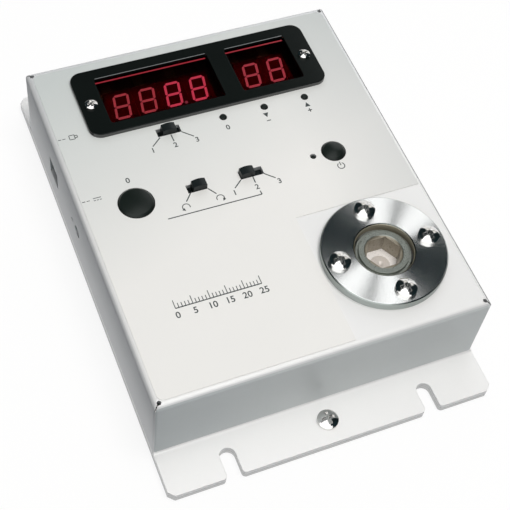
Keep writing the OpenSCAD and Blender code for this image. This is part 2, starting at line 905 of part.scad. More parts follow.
module panel_posts() {
    color("gold")
    at_front_screws() translate([0, 0, front_top_z])
        hex_post(panel_post_af, inner_z - front_top_z, m3_d + 2 * tap_gap);
}

module panel_screws() {
    color("silver")
    at_front_screws() translate([0, 0, front_under_z])
        mirror([0, 0, 1]) pan_screw(m3_d, m3_head_d, m3_head_h, board_screw_l);
}

// Push buttons

// A cap of diameter d with its rim at z = top, a collar under the panel and a stem
module push_button(d, top, bevel, crown, lip, stem_d, stem_z) {
    collar_z = inner_z - rest_gap - collar_t;
    translate([0, 0, collar_z]) cylinder(collar_t, d = d + 2 * lip);
    translate([0, 0, collar_z]) cylinder(top - bevel - collar_z, d = d);
    translate([0, 0, top - bevel]) cylinder(bevel, d1 = d, d2 = d - 2 * bevel);
    if (crown > 0) translate([0, 0, top]) dome(d - 2 * bevel, crown);
    translate([0, 0, stem_z]) cylinder(collar_z - stem_z, d = stem_d);
}

function stem_foot(travel) = front_top_z + switch_floor_t + travel + rest_gap;

module cap_button(x, d) {
    color("#1b221f")
    translate([x, lower_y, 0])
        push_button(d, panel_z + cap_rise, cap_bevel, cap_crown, collar_lip,
            cap_stem_d, stem_foot(cap_travel));
}

module pin_button(x, y, d, top) {
    color("#15191a")
    translate([x, y, 0])
        push_button(d, top, pin_bevel, 0, pin_lip, pin_stem_d, stem_foot(pin_travel));
}

// A square switch body on the front board with a bore for the stem
module switch_body(w, h, stem_d) {
    difference() {
        block(w, w, h);
        translate([0, 0, switch_floor_t]) cylinder(h, d = stem_d + 2 * stem_gap);
    }
}

// A coil spring as one unbroken tube, from z = 0 to z = h
module coil_spring(h) {
    steps = ceil(spring_turns * spring_steps);
    r = spring_d / 2;
    wire_r = spring_wire / 2;
    rise = h - spring_wire;
    points = [for (i = [0 : steps], k = [0 : spring_sides - 1])
        let (a = 360 * spring_turns * i / steps, b = 360 * k / spring_sides)
        [(r + wire_r * cos(b)) * cos(a), (r + wire_r * cos(b)) * sin(a),
            wire_r + rise * i / steps + wire_r * sin(b)]];
    sides = [for (i = [0 : steps - 1], k = [0 : spring_sides - 1])
        let (n = spring_sides, p = i * n + k, q = i * n + (k + 1) % n) [p, p + n, q + n, q]];
    ends = [
        [for (k = [0 : spring_sides - 1]) k],
        [for (k = [0 : spring_sides - 1]) (steps + 1) * spring_sides - 1 - k]
    ];
    polyhedron(points, concat(sides, ends));
}

module cap_spring(x) {
    z = front_top_z + cap_switch_h;
    color("lightsteelblue")
    translate([x, lower_y, z]) coil_spring(inner_z - rest_gap - collar_t - z);
}

module cap_switch(x) {
    color("#2c2c2c")
    translate([x, lower_y, front_top_z]) switch_body(cap_switch_w, cap_switch_h, cap_stem_d);
}

module clear_button() { cap_button(clear_x, clear_d); }
module clear_spring() { cap_spring(clear_x); }
module clear_switch() { cap_switch(clear_x); }
module power_button() { cap_button(power_x, power_d); }
module power_spring() { cap_spring(power_x); }
module power_switch() { cap_switch(power_x); }
module clear_time_button() { pin_button(pin_right, upper_y, pin_d, panel_z + pin_rise); }
module count_down_button() { pin_button(pin_right + pin_pitch, upper_y, pin_d, panel_z + pin_rise); }
module count_up_button() { pin_button(pin_right + 2 * pin_pitch, upper_y, pin_d, panel_z + pin_rise); }
module reset_button() { pin_button(reset_x, lower_y, reset_d, panel_z - reset_sink); }

module tact_switches() {
    color("#26282a")
    translate([0, 0, front_top_z]) {
        for (i = [0 : 2])
            translate([pin_right + i * pin_pitch, upper_y, 0]) switch_body(tact_w, tact_h, pin_stem_d);
        translate([reset_x, lower_y, 0]) switch_body(tact_w, tact_h, pin_stem_d);
    }
}

// Slide switches

// A crowned knob on a shoe that slides under the panel, with a tongue in the switch
module slide_knob(steps) {
    top = panel_z + knob_rise;
    shoe_z = inner_z - rest_gap - shoe_t;
    reach = steps * switch_step;
    crown_r = (knob_w * knob_w / 4 + knob_crown * knob_crown) / (2 * knob_crown);
    color("#20262a") {
        along_y(knob_l) intersection() {
            translate([-knob_w / 2, shoe_z]) square([knob_w, top - shoe_z]);
            translate([0, top - crown_r]) circle(crown_r, $fn = 5 * $fn);
        }
        translate([0, 0, shoe_z])
            block(knob_w + 2 * (reach + stop_gap + shoe_lap), knob_l + 2 * knob_gap + shoe_lap, shoe_t);
        translate([0, 0, shoe_z - tongue_h]) block(tongue_w, tongue_l, tongue_h);
    }
}

module slide_switch(steps) {
    reach = steps * switch_step;
    track = tongue_w + reach + 2 * rest_gap;
    top = inner_z - rest_gap - shoe_t - rest_gap;
    color("#3a3c3e")
    difference() {
        translate([0, 0, front_top_z])
            block(knob_w + reach + 2 * (stop_gap + switch_end), switch_l, top - front_top_z);
        translate([0, 0, top - tongue_h])
            block(track, tongue_l + 2 * rest_gap, tongue_h + cut);
    }
}

module unit_knob() { translate([-unit_left, upper_y, 0]) slide_knob(2); }
module unit_switch() { translate([-unit_left, upper_y, 0]) slide_switch(2); }

// The direction knob stands at the right and the mode knob at the left of its window
module direction_knob() {
    translate([direction_x + switch_step / 2, lower_y, 0]) slide_knob(1);
}
module direction_switch() { translate([direction_x, lower_y, 0]) slide_switch(1); }
module mode_knob() { translate([mode_right - switch_step, lower_y, 0]) slide_knob(2); }
module mode_switch() { translate([mode_right, lower_y, 0]) slide_switch(2); }

// Drive socket

module socket_disc() {
    color("#d5d8da")
    at_disc() translate([0, 0, case_h]) difference() {
        union() {
            cylinder(disc_t - disc_chamfer, d = disc_d);
            translate([0, 0, disc_t - disc_chamfer])
                cylinder(disc_chamfer, d1 = disc_d, d2 = disc_d - 2 * disc_chamfer);
        }
        translate([0, 0, -cut]) cylinder(disc_t + 2 * cut, d = disc_bore_d);
        translate([0, 0, disc_t - disc_chamfer])
            cylinder(disc_chamfer + cut, d1 = disc_bore_d, d2 = disc_bore_d + 2 * (disc_chamfer + cut));
        ring_of(4, disc_screw_pcd, 0)
            translate([0, 0, -cut]) cylinder(disc_t + 2 * cut, d = m5_d + 2 * hole_gap);
    }
}

module disc_screws() {
    color("whitesmoke")
    at_disc() translate([0, 0, disc_z])
        ring_of(4, disc_screw_pcd, 0) pan_screw(m5_d, m5_head_d, m5_head_h, disc_screw_l);
}

module torque_socket() {
    corner_d = hex_af / cos(30);
    color("#8d8f92")
    at_disc() difference() {
        union() {
            translate([0, 0, head_z]) cylinder(head_h, d = socket_d);
            translate([0, 0, head_z]) cylinder(head_h - socket_step, d = socket_step_d);
            translate([0, 0, head_z - neck_h]) cylinder(neck_h, d1 = torsion_w, d2 = socket_step_d);
            translate([0, 0, socket_foot_z]) block(torsion_w, torsion_w, head_z - socket_foot_z);
            translate([0, 0, floor_z]) cylinder(socket_foot_t, d = socket_foot_d);
        }
        translate([0, 0, socket_top_z - hex_depth])
            cylinder(hex_depth + cut, d = corner_d, $fn = 6);
        translate([0, 0, socket_top_z - hex_depth - drill_depth])
            cylinder(drill_depth + cut, d1 = 0, d2 = drill_d);
        translate([0, 0, socket_top_z - hex_chamfer])
            cylinder(hex_chamfer + cut, d1 = corner_d - hex_chamfer, d2 = corner_d + hex_chamfer + 2 * cut);
        ring_of(4, foot_screw_pcd, 0)
            translate([0, 0, floor_z - cut]) cylinder(foot_tap_l + cut, d = m4_d + 2 * tap_gap);
    }
}

// The ring housing that carries the disc and the panel on the base plate
module transducer_housing() {
    h = inner_z - floor_z;
    color("#74787c")
    at_disc() translate([0, 0, floor_z]) difference() {
        cylinder(h, d = housing_d);
        translate([0, 0, -cut]) cylinder(h - housing_top_t + cut, d = housing_bore_d);
        cylinder(h + cut, d = disc_bore_d);
        ring_of(4, disc_screw_pcd, 0)
            translate([0, 0, h - housing_top_t - cut])
                cylinder(housing_top_t + 2 * cut, d = m5_d + 2 * tap_gap);
        ring_of(4, housing_screw_pcd, 45)
            translate([0, 0, -cut]) cylinder(foot_tap_l + cut, d = m4_d + 2 * tap_gap);
        translate([0, housing_d / 2, torsion_mid_z - floor_z - cable_w / 2 - rest_gap])
            block(cable_t + 2 * cable_gap, housing_d - housing_bore_d + 2 * cut, cable_w + 2 * rest_gap);
    }
}

module transducer_screws() {
    color("dimgray")
    at_disc() translate([0, 0, head_gap]) {
        ring_of(4, foot_screw_pcd, 0) flat_screw(m4_d, m4_head_d, transducer_screw_l);
        ring_of(4, housing_screw_pcd, 45) flat_screw(m4_d, m4_head_d, transducer_screw_l);
    }
}

module strain_gauges() {
    color("#c98f4a")
    at_disc() for (a = [0 : 90 : 270])
        rotate([0, 0, a]) translate([torsion_w / 2, -gauge_w / 2, torsion_mid_z - gauge_l / 2])
            cube([gauge_t, gauge_w, gauge_l]);
}

// A flat cable on edge, from the gauges to the main board
module gauge_cable() {
    y0 = disc_y + torsion_w / 2 + gauge_t;
    y1 = main_y - main_board_l / 2;
    color("dimgray")
    translate([disc_x - cable_t / 2, y0, torsion_mid_z - cable_w / 2]) cube([cable_t, y1 - y0, cable_w]);
}

module gauge_connector() {
    h = torsion_mid_z + cable_w / 2 - main_top_z;
    color("ivory")
    translate([disc_x, main_y - main_board_l / 2 + plug_l / 2, main_top_z]) block(plug_w, plug_l, h);
}

// Main board

module main_board() {
    color("seagreen")
    difference() {
        translate([main_x, main_y, main_top_z - board_t]) block(main_board_w, main_board_l, board_t);
        at_main_screws() translate([0, 0, main_top_z - board_t - cut])
            cylinder(board_t + 2 * cut, d = m3_d + 2 * hole_gap);
    }
}

module main_posts() {
    color("gold")
    at_main_screws() translate([0, 0, floor_z])
        hex_post(main_post_af, main_post_h, m3_d + 2 * tap_gap);
}

module board_screws() {
    color("silver")
    at_main_screws() translate([0, 0, main_top_z])
        pan_screw(m3_d, m3_head_d, m3_head_h, board_screw_l);
}

module base_screws() {
    color("dimgray")
    translate([0, 0, head_gap]) {
        at_main_screws() flat_screw(m3_d, m3_flat_d, base_screw_l);
        at_tray_screws() flat_screw(m3_d, m3_flat_d, floor_z + tray_t - head_gap);
    }
}

module board_header() {
    color("#222426")
    translate([0, lower_y + header_ahead, main_top_z])
        block(header_w, header_l, front_under_z - main_top_z);
}

// Processor, converter, regulator and two capacitors
module board_chips() {
    chip_w = 14;
    chip_h = 1.6;
    regulator_w = 9;
    regulator_h = 2.4;
    can_d = 8;
    can_h = 11;
    color("#2a2b2e")
    translate([main_x, main_y, main_top_z]) {
        translate([main_board_w / 8, main_board_l / 6, 0]) block(chip_w, chip_w, chip_h);
        translate([main_board_w / 3, -main_board_l / 6, 0]) block(regulator_w, chip_w, chip_h);
        translate([-main_board_w / 4, main_board_l / 4, 0])
            block(regulator_w, regulator_w, regulator_h);
        for (i = [0, 1])
            translate([-main_board_w / 4, -i * (can_d + chip_h), 0]) cylinder(can_h, d = can_d);
    }
}

// Side sockets

module usb_port() {
    depth = usb_l - usb_back_t;
    color("#b9bcc0")
    translate([sheet_t - side_x, usb_y, usb_z]) {
        difference() {
            translate([0, -usb_w / 2, -usb_h / 2]) cube([usb_l, usb_w, usb_h]);
            translate([-cut, -usb_face_w / 2, -usb_face_h / 2])
                cube([depth + cut, usb_face_w, usb_face_h]);
        }
        translate([usb_sink, -usb_tongue_w / 2, -usb_tongue_h / 2])
            cube([depth - usb_sink, usb_tongue_w, usb_tongue_h]);
    }
}

module dc_jack() {
    color("#232527")
    translate([sheet_t - side_x, dc_y, dc_z]) {
        difference() {
            translate([0, -dc_w / 2, -dc_axis_h]) cube([dc_l, dc_w, dc_h]);
            translate([-cut, 0, 0]) rotate([0, 90, 0]) cylinder(dc_bore_l + cut, d = dc_bore_d);
        }
        translate([dc_pin_sink, 0, 0])
            rotate([0, 90, 0]) cylinder(dc_bore_l - dc_pin_sink, d = dc_pin_d);
    }
}

module charge_lamp() {
    h = lamp_z + lamp_block_w / 2 - main_top_z;
    block_x = sheet_t + main_left;
    color("#d04030")
    translate([-side_x, lamp_y, 0]) {
        translate([block_x + lamp_block_l / 2, 0, main_top_z]) block(lamp_block_l, lamp_block_w, h);
        translate([lamp_sink, 0, lamp_z]) rotate([0, 90, 0]) cylinder(block_x, d = lamp_d);
    }
}

// Battery

module battery_tray() {
    tab_h = battery_cable_z + cable_w / 2 - floor_z;
    color("#9a9ea2")
    difference() {
        translate([tray_x, tray_y, floor_z]) {
            block(tray_w, tray_l, tray_t);
            for (y = [-1, 1])
                translate([0, y * (tray_l - tray_t) / 2, 0]) block(tray_w, tray_t, tray_wall_h);
            for (x = [-1, 1])
                translate([x * (tray_w - tray_t) / 2, 0, 0]) block(tray_t, tray_l, tray_wall_h);
            translate([0, (tray_l - tray_t) / 2, 0]) block(tab_w, tray_t, tab_h);
        }
        at_tray_screws() translate([0, 0, floor_z - cut]) cylinder(tray_t + 2 * cut, d = m3_d + 2 * tap_gap);
    }
}

module battery_cells() {
    color("#3f7f4f")
    for (i = [0 : cell_count - 1])
        translate([
            tray_x + (i - (cell_count - 1) / 2) * (cell_d + cell_gap),
            tray_y - cell_nub_h / 2,
            floor_z + tray_t + cell_d / 2
        ]) rotate([90, 0, 0]) {
            cylinder(cell_l, d = cell_d, center = true);
            translate([0, 0, -cell_l / 2 - cell_nub_h]) cylinder(cell_nub_h, d = cell_nub_d);
        }
}

module battery_cable() {
    y0 = tray_y + tray_l / 2;
    y1 = main_y - main_board_l / 2;
    color("dimgray")
    translate([tray_x - cable_t / 2, y0, battery_cable_z - cable_w / 2])
        cube([cable_t, y1 - y0, cable_w]);
}

module battery_connector() {
    color("ivory")
    translate([tray_x, main_y - main_board_l / 2 + plug_l / 2, main_top_z])
        block(plug_w, plug_l, cable_w);
}

cover();
base_plate();
flange_screws();
panel_overlay();
display_bezel();
bezel_screws();
red_filter();
torque_digits();
torque_bars();
time_digits();
time_bars();
spare_points();
front_board();
panel_posts();
panel_screws();
clear_button();
clear_spring();
clear_switch();
power_button();
power_spring();
power_switch();
clear_time_button();
count_down_button();
count_up_button();
reset_button();
tact_switches();
unit_knob();
unit_switch();
direction_knob();
direction_switch();
mode_knob();
mode_switch();
socket_disc();
disc_screws();
torque_socket();
transducer_housing();
transducer_screws();
strain_gauges();
gauge_cable();
gauge_connector();
main_board();
main_posts();
board_screws();
base_screws();
board_header();
board_chips();
usb_port();
dc_jack();
charge_lamp();
battery_tray();
battery_cells();
battery_cable();
battery_connector();
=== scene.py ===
# %% [markdown]
# # A bench torque tester in Blender
# The real thing is a folded sheet-metal case with a printed front panel, two windows of red
# lit numbers, a row of small switches and a steel disc with a hex socket in it. The solid model
# already gives every piece its true shape and place, so this script adds what makes the eye
# believe them: how each surface was made, the ink on the panel, the light and the camera.
# The model is loaded first and never moved. Its lengths are metres, and +Y points to the back.
# No material was measured. Each is what such a piece is usually made of and looks like in the
# photograph, and its numbers were then fitted to the photograph.

# %% Load the solid model
import math

import bmesh
import bpy
from mathutils import Matrix, Vector


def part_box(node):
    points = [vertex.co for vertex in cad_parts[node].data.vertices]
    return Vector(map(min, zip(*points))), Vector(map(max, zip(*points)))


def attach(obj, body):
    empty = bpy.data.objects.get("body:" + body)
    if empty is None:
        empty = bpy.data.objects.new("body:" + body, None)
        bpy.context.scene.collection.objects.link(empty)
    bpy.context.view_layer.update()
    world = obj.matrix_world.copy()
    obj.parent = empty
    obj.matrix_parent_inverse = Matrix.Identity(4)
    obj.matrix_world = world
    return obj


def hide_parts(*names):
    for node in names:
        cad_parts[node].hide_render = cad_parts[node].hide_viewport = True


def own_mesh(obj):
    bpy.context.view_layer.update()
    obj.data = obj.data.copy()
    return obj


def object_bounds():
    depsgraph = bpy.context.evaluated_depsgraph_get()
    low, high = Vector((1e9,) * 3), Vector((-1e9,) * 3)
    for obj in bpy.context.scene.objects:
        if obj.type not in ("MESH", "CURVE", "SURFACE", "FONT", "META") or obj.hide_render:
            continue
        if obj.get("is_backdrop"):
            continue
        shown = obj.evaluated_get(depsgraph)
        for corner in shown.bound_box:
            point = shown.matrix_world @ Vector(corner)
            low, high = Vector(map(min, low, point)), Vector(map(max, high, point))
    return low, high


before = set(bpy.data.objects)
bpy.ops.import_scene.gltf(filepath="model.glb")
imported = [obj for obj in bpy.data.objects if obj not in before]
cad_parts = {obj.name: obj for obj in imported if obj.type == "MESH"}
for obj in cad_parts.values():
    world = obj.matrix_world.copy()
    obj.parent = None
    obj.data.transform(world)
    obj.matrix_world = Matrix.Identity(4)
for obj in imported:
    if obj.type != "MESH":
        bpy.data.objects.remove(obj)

cad_low, cad_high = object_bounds()
MM = 0.001
print("nodes:", len(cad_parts), "size in mm:", [round(v / MM, 1) for v in cad_high - cad_low])

# %% [markdown]
# ## Four small helpers
# Colours are picked as sRGB hex values, as any colour picker gives them, but a shader works in
# linear light, so one function converts them. A second adds one shader node: settings that
# start with a capital or a number are sockets on the node, and the others are its own switches.

# %% Colour and node helpers
def linear(hex_colour):
    """sRGB hex to the linear colour that a shader socket wants."""
    parts = [int(hex_colour[i : i + 2], 16) / 255 for i in (1, 3, 5)]
    return (*[c / 12.92 if c <= 0.04045 else ((c + 0.055) / 1.055) ** 2.4 for c in parts], 1.0)


def add(tree, kind, settings={}, links={}):
    """Adds one shader node, sets it and links other nodes' outputs to its sockets."""
    node = tree.nodes.new("ShaderNode" + kind)
    for key, value in settings.items():
        if isinstance(key, int) or key[0].isupper():
            node.inputs[key].default_value = value
        else:
            setattr(node, key, value)
    for key, source in links.items():
        tree.links.new(source, node.inputs[key])
    return node


print("mid grey #808080 is", round(linear("#808080")[0], 3), "in linear light")

# %% [markdown]
# Every surface here shares the same build: a colour that wanders a little between two tones in
# patches, a fine grain that lifts the surface, and a gloss that wanders with the grain. Written
# once, it lets each material below be one line of real facts. Sizes are in millimetres. The
# rounded-edge trick catches light along sharp edges, as a real broken edge does.

# %% The finish builder
def finish(name, light, dark, patch_mm, roughness, spread, grain_mm, depth_mm, metallic=0.0,
           stretch=(1, 1, 1), edge_mm=0.0, sockets={}):
    """A material with wandering colour, grain and gloss. Returns it with its tree and nodes."""
    material = bpy.data.materials.new(name)
    material.use_nodes = True
    tree = material.node_tree
    skin = tree.nodes["Principled BSDF"]
    for key, value in {"Metallic": metallic, **sockets}.items():
        skin.inputs[key].default_value = value
    place = add(tree, "TexCoord").outputs["Object"]
    spot = add(tree, "Mapping", {"Scale": stretch}, {"Vector": place}).outputs["Vector"]
    patches = add(tree, "TexNoise", {"Scale": 1000 / patch_mm, "Detail": 3.0}, {"Vector": spot})
    tone = add(tree, "Mix", {"data_type": "RGBA", 6: linear(dark), 7: linear(light)},
               {0: patches.outputs[0]})
    grain = add(tree, "TexNoise", {"Scale": 1000 / grain_mm, "Detail": 4.0}, {"Vector": spot})
    gloss = add(tree, "MapRange", {"From Min": 0.3, "From Max": 0.7,
                "To Min": max(roughness - spread, 0.02), "To Max": roughness + spread},
                {"Value": grain.outputs[0]})
    lift = add(tree, "Bump", {"Strength": 1.0, "Distance": depth_mm * MM},
               {"Height": grain.outputs[0]})
    if edge_mm:
        edge = add(tree, "Bevel", {"samples": 6, "Radius": edge_mm * MM})
        tree.links.new(edge.outputs["Normal"], lift.inputs["Normal"])
    tree.links.new(tone.outputs[2], skin.inputs["Base Color"])
    tree.links.new(gloss.outputs["Result"], skin.inputs["Roughness"])
    tree.links.new(lift.outputs["Normal"], skin.inputs["Normal"])
    return {"material": material, "tree": tree, "skin": skin, "place": place, "tone": tone,
            "lift": lift}


def dress(made, *nodes):
    """Gives a finish to CAD nodes, slot by slot."""
    for name in nodes:
        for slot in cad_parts[name].material_slots:
            slot.material = made["material"]
    print(made["material"].name, "on", ", ".join(nodes))


# %% [markdown]
# ## The camera
# A camera was fitted to the straight edges and circles of the photograph, which gave a lens of
# about 85 mm looking down from the front left. It is typed in here as it was solved.

# %% Camera
camera_data = bpy.data.cameras.new("portrait_camera")
camera_data.lens = 84.667
camera_data.sensor_width = 36.0
camera_data.clip_start = 0.02
camera = bpy.data.objects.new("portrait_camera", camera_data)
bpy.context.scene.collection.objects.link(camera)
camera.location = (-0.150607, -0.282733, 0.464616)
camera.rotation_euler = [math.radians(a) for a in (33.7016, -5.1096, -21.8215)]
bpy.context.scene.camera = camera
bpy.context.scene.view_settings.view_transform = "Standard"
print("camera stands", round(camera.location.length, 3), "m from the origin")

# %% [markdown]
# ## The case
# The cover is aluminium sheet, blasted with fine glass beads and then clear anodised. That gives
# an even, silvery, almost powdery look with no brush lines: a metal with a broad soft highlight.
# Beads leave dimples about 0.1 mm wide, which would be lost at this scale, so the grain is drawn
# at 0.35 mm. It is set only a fifth metallic, which was fitted to the photograph and isn't what
# bare aluminium measures. The base plate is taken to be the same alloy straight from the rolling
# mill, so its grain runs in long streaks.

# %% Case materials
blasted_aluminium = finish("bead_blasted_anodised_aluminium", "#e6e7e8", "#e1e2e4", 30,
                           0.42, 0.05, 0.35, 0.012, metallic=0.2, edge_mm=0.5)
rolled_aluminium = finish("mill_rolled_aluminium", "#c2c2c1", "#b2b3b3", 12,
                          0.38, 0.08, 0.5, 0.008, metallic=0.9, stretch=(0.08, 1, 1), edge_mm=0.3)
dress(blasted_aluminium, "cover")
dress(rolled_aluminium, "base_plate")

# %% [markdown]
# The cover is one sheet with one finish. The tones in this cell and the next stand in for the
# light of the photograph, and were fitted to it spot by spot. Each place is found by the way the
# sheet faces and by its height. Thin dark lines lie on the bends above the right and rear walls.

# %% Bends and feet of the cover
wall_top, feet_top = 42.4 * MM, 6 * MM
tree = blasted_aluminium["tree"]
facing = add(tree, "SeparateXYZ", {}, {0: add(tree, "TexCoord").outputs["Normal"]})
at = add(tree, "SeparateXYZ", {}, {0: blasted_aluminium["place"]})
away = add(tree, "Math", {"operation": "MAXIMUM"},
           {0: facing.outputs["X"], 1: facing.outputs["Y"]})
turned_away = add(tree, "MapRange", {"From Min": 0.35, "From Max": 0.6},
                  {"Value": away.outputs[0]})
above_walls = add(tree, "Math", {"operation": "GREATER_THAN", 1: wall_top}, {0: at.outputs["Z"]})
on_bend = add(tree, "Math", {"operation": "MULTIPLY"},
              {0: turned_away.outputs["Result"], 1: above_walls.outputs[0]})
# Painted shade: thin dark lines on the bends above the right and rear walls, where the sheet turns
# away from the light.
bend_painted_shade = add(tree, "Mix", {"data_type": "RGBA", "blend_type": "MULTIPLY", 7: linear("#4c4d50")},
                {0: on_bend.outputs[0], 6: blasted_aluminium["tone"].outputs[2]})
on_feet = add(tree, "Math", {"operation": "LESS_THAN", 1: feet_top}, {0: at.outputs["Z"]})
print("bend lines start at", round(wall_top / MM, 1), "mm, feet end at", round(feet_top / MM, 1))

# %% [markdown]
# The bare top gets painted light, a shade lighter than the walls, that cools a little towards the
# back. The front wall gets painted shade, a shade greyer, most at its left end. The feet get the
# most painted light and are the lightest. These shades belong to this light, and would be wrong
# in another.

# %% Top and front wall of the cover
level = add(tree, "Math", {"operation": "GREATER_THAN", 1: 0.8}, {0: facing.outputs["Z"]})
on_top = add(tree, "Math", {"operation": "MULTIPLY"},
             {0: level.outputs[0], 1: above_walls.outputs[0]})
to_back = add(tree, "MapRange", {"From Min": 10 * MM, "From Max": 70 * MM},
              {"Value": at.outputs["Y"]})
# Painted light on the bare top, turning to a cooler, darker painted shade towards the back.
top_painted_light = add(tree, "Mix", {"data_type": "RGBA", 6: linear("#f1f1f1"), 7: linear("#dcdee0")},
                {0: to_back.outputs["Result"]})
top_tone = add(tree, "Mix", {"data_type": "RGBA"},
               {0: on_top.outputs[0], 6: bend_painted_shade.outputs[2], 7: top_painted_light.outputs[2]})
on_front = add(tree, "Math", {"operation": "LESS_THAN", 1: -0.8}, {0: facing.outputs["Y"]})
to_left = add(tree, "MapRange", {"From Min": -10 * MM, "From Max": -75 * MM},
              {"Value": at.outputs["X"]})
# Painted shade: the front wall is greyed, most at its left end.
front_painted_shade = add(tree, "Mix", {"data_type": "RGBA", 6: linear("#edf1f0"), 7: linear("#d8dedf")},
                  {0: to_left.outputs["Result"]})
wall_tone = add(tree, "Mix", {"data_type": "RGBA", "blend_type": "MULTIPLY"},
                {0: on_front.outputs[0], 6: top_tone.outputs[2], 7: front_painted_shade.outputs[2]})
# Painted light: the feet are made almost white.
cover_with_painted_light = add(tree, "Mix", {"data_type": "RGBA", 7: linear("#fcfcfc")},
                 {0: on_feet.outputs[0], 6: wall_tone.outputs[2]})
tree.links.new(cover_with_painted_light.outputs[2], blasted_aluminium["skin"].inputs["Base Color"])
print("cover has", len(tree.nodes), "shader nodes")

# %% [markdown]
# ## The front panel film
# The panel is a polyester film, printed silver grey on its back and lightly textured on its
# face. Film is a plain plastic, so it has no metal in it, an IOR of about 1.6, and a satin gloss
# from the texture. In the photograph it looks cooler at the back and darker at the right. Two slow
# ramps stand in for that light.

# %% Panel film
film = finish("printed_polyester_film", "#ebeae8", "#e8e7e5", 40, 0.44, 0.04, 0.3, 0.004,
              sockets={"IOR": 1.6, "Specular IOR Level": 0.4})
toward_back = (-0.35, 0.94, 0)
tree = film["tree"]
# Painted shade: the film is darkened towards the back and towards the right.
along = add(tree, "VectorMath", {"operation": "DOT_PRODUCT", 1: toward_back}, {0: film["place"]})
fade = add(tree, "MapRange", {"From Min": -10 * MM, "From Max": 100 * MM},
           {"Value": along.outputs["Value"]})
back_painted_shade = add(tree, "Mix", {"data_type": "RGBA", "blend_type": "MULTIPLY", 7: linear("#d9e0e1")},
           {0: fade.outputs["Result"], 6: film["tone"].outputs[2]})
at = add(tree, "SeparateXYZ", {}, {0: film["place"]})
right_fade = add(tree, "MapRange", {"From Min": 30 * MM, "From Max": 75 * MM},
                 {"Value": at.outputs["X"]})
right_painted_shade = add(tree, "Mix", {"data_type": "RGBA", "blend_type": "MULTIPLY", 7: linear("#e9ebec")},
                 {0: right_fade.outputs["Result"], 6: back_painted_shade.outputs[2]})
tree.links.new(right_painted_shade.outputs[2], film["skin"].inputs["Base Color"])
dress(film, "panel_overlay")

# %% [markdown]
# ## The display
# The frame round the windows is moulded ABS with a polished face, black with a little green.
# In the photograph its front flank is brighter than its face. The flank is set glossier for that,
# though on the real frame it needn't be. Behind each window lies a sheet of red acrylic, which
# lets only red light through. The IOR of acrylic is 1.49; it is set lower here so that the sheet
# bends the view of the numbers no more than the measured places already do.

# %% Frame and red sheet
gloss_abs = finish("polished_moulded_abs", "#141918", "#101413", 25, 0.2, 0.04, 0.8, 0.003,
                   edge_mm=0.2, sockets={"IOR": 1.54})
frame_low, frame_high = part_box("display_bezel")
flank_back, flank_top = frame_low.y + 2 * MM, frame_high.z - 0.25 * MM
tree = gloss_abs["tree"]
at = add(tree, "SeparateXYZ", {}, {0: gloss_abs["place"]})
near_front = add(tree, "Math", {"operation": "LESS_THAN", 1: flank_back}, {0: at.outputs["Y"]})
below_face = add(tree, "Math", {"operation": "LESS_THAN", 1: flank_top}, {0: at.outputs["Z"]})
on_flank = add(tree, "Math", {"operation": "MULTIPLY"},
               {0: near_front.outputs[0], 1: below_face.outputs[0]})
flank_gloss = add(tree, "MapRange", {"To Min": 0.12, "To Max": 1.0}, {"Value": on_flank.outputs[0]})
tree.links.new(flank_gloss.outputs["Result"], gloss_abs["skin"].inputs["Specular IOR Level"])
red_acrylic = finish("red_acrylic_sheet", "#f06a78", "#ee6674", 40, 0.02, 0.0, 2.0, 0.0,
                     sockets={"IOR": 1.15, "Transmission Weight": 1.0})
dress(gloss_abs, "display_bezel")
dress(red_acrylic, "red_filter")

# %% [markdown]
# The numbers are seven-bar modules cast in epoxy. The module stays nearly black behind the red
# sheet, with a faint halo along the row of bars.

# %% Number modules
led_epoxy = finish("cast_led_epoxy", "#12090a", "#0d0607", 6, 0.5, 0.06, 0.5, 0.003,
                   sockets={"IOR": 1.55, "Specular IOR Level": 0.1,
                            "Emission Color": linear("#ff1828")})
dark_point = finish("unlit_led_epoxy", "#3a1216", "#2e0e11", 3, 0.5, 0.05, 0.4, 0.002,
                    sockets={"IOR": 1.55, "Specular IOR Level": 0.1})
row_middle = 60.75 * MM
tree = led_epoxy["tree"]
at = add(tree, "SeparateXYZ", {}, {0: led_epoxy["place"]})
offset = add(tree, "Math", {"operation": "SUBTRACT", 1: row_middle}, {0: at.outputs["Y"]})
distance = add(tree, "Math", {"operation": "ABSOLUTE"}, {0: offset.outputs[0]})
halo = add(tree, "MapRange", {"From Min": 5 * MM, "From Max": 9.5 * MM, "To Min": 0.018,
           "To Max": 0.001}, {"Value": distance.outputs[0]})
tree.links.new(halo.outputs["Result"], led_epoxy["skin"].inputs["Emission Strength"])
dress(led_epoxy, "torque_digits", "time_digits")
dress(dark_point, "spare_points")

# %% [markdown]
# Lit bars glow. In the photograph the two left torque digits are the dimmest and the two beside
# them the brightest. The time digits lie between, and the decimal point is dimmer than any bar.

# %% Lit bars
lit_bar = finish("lit_led_bar", "#301012", "#280c0e", 2, 0.5, 0.05, 0.3, 0.001,
                 sockets={"Emission Strength": 1.0})
bright_from, time_from = -19.4 * MM, 12 * MM
point_place, point_reach = (-9.12 * MM, 54.4 * MM, 0), 1.2 * MM
tree = lit_bar["tree"]
at = add(tree, "SeparateXYZ", {}, {0: lit_bar["place"]})
in_bright = add(tree, "Math", {"operation": "GREATER_THAN", 1: bright_from}, {0: at.outputs["X"]})
glow = add(tree, "Mix", {"data_type": "RGBA", 6: linear("#948280"), 7: linear("#bd889f")},
           {0: in_bright.outputs[0]})
in_time = add(tree, "Math", {"operation": "GREATER_THAN", 1: time_from}, {0: at.outputs["X"]})
time_glow = add(tree, "Mix", {"data_type": "RGBA", 7: linear("#9b898b")},
                {0: in_time.outputs[0], 6: glow.outputs[2]})
on_plane = add(tree, "Mapping", {"Scale": (1, 1, 0)}, {"Vector": lit_bar["place"]})
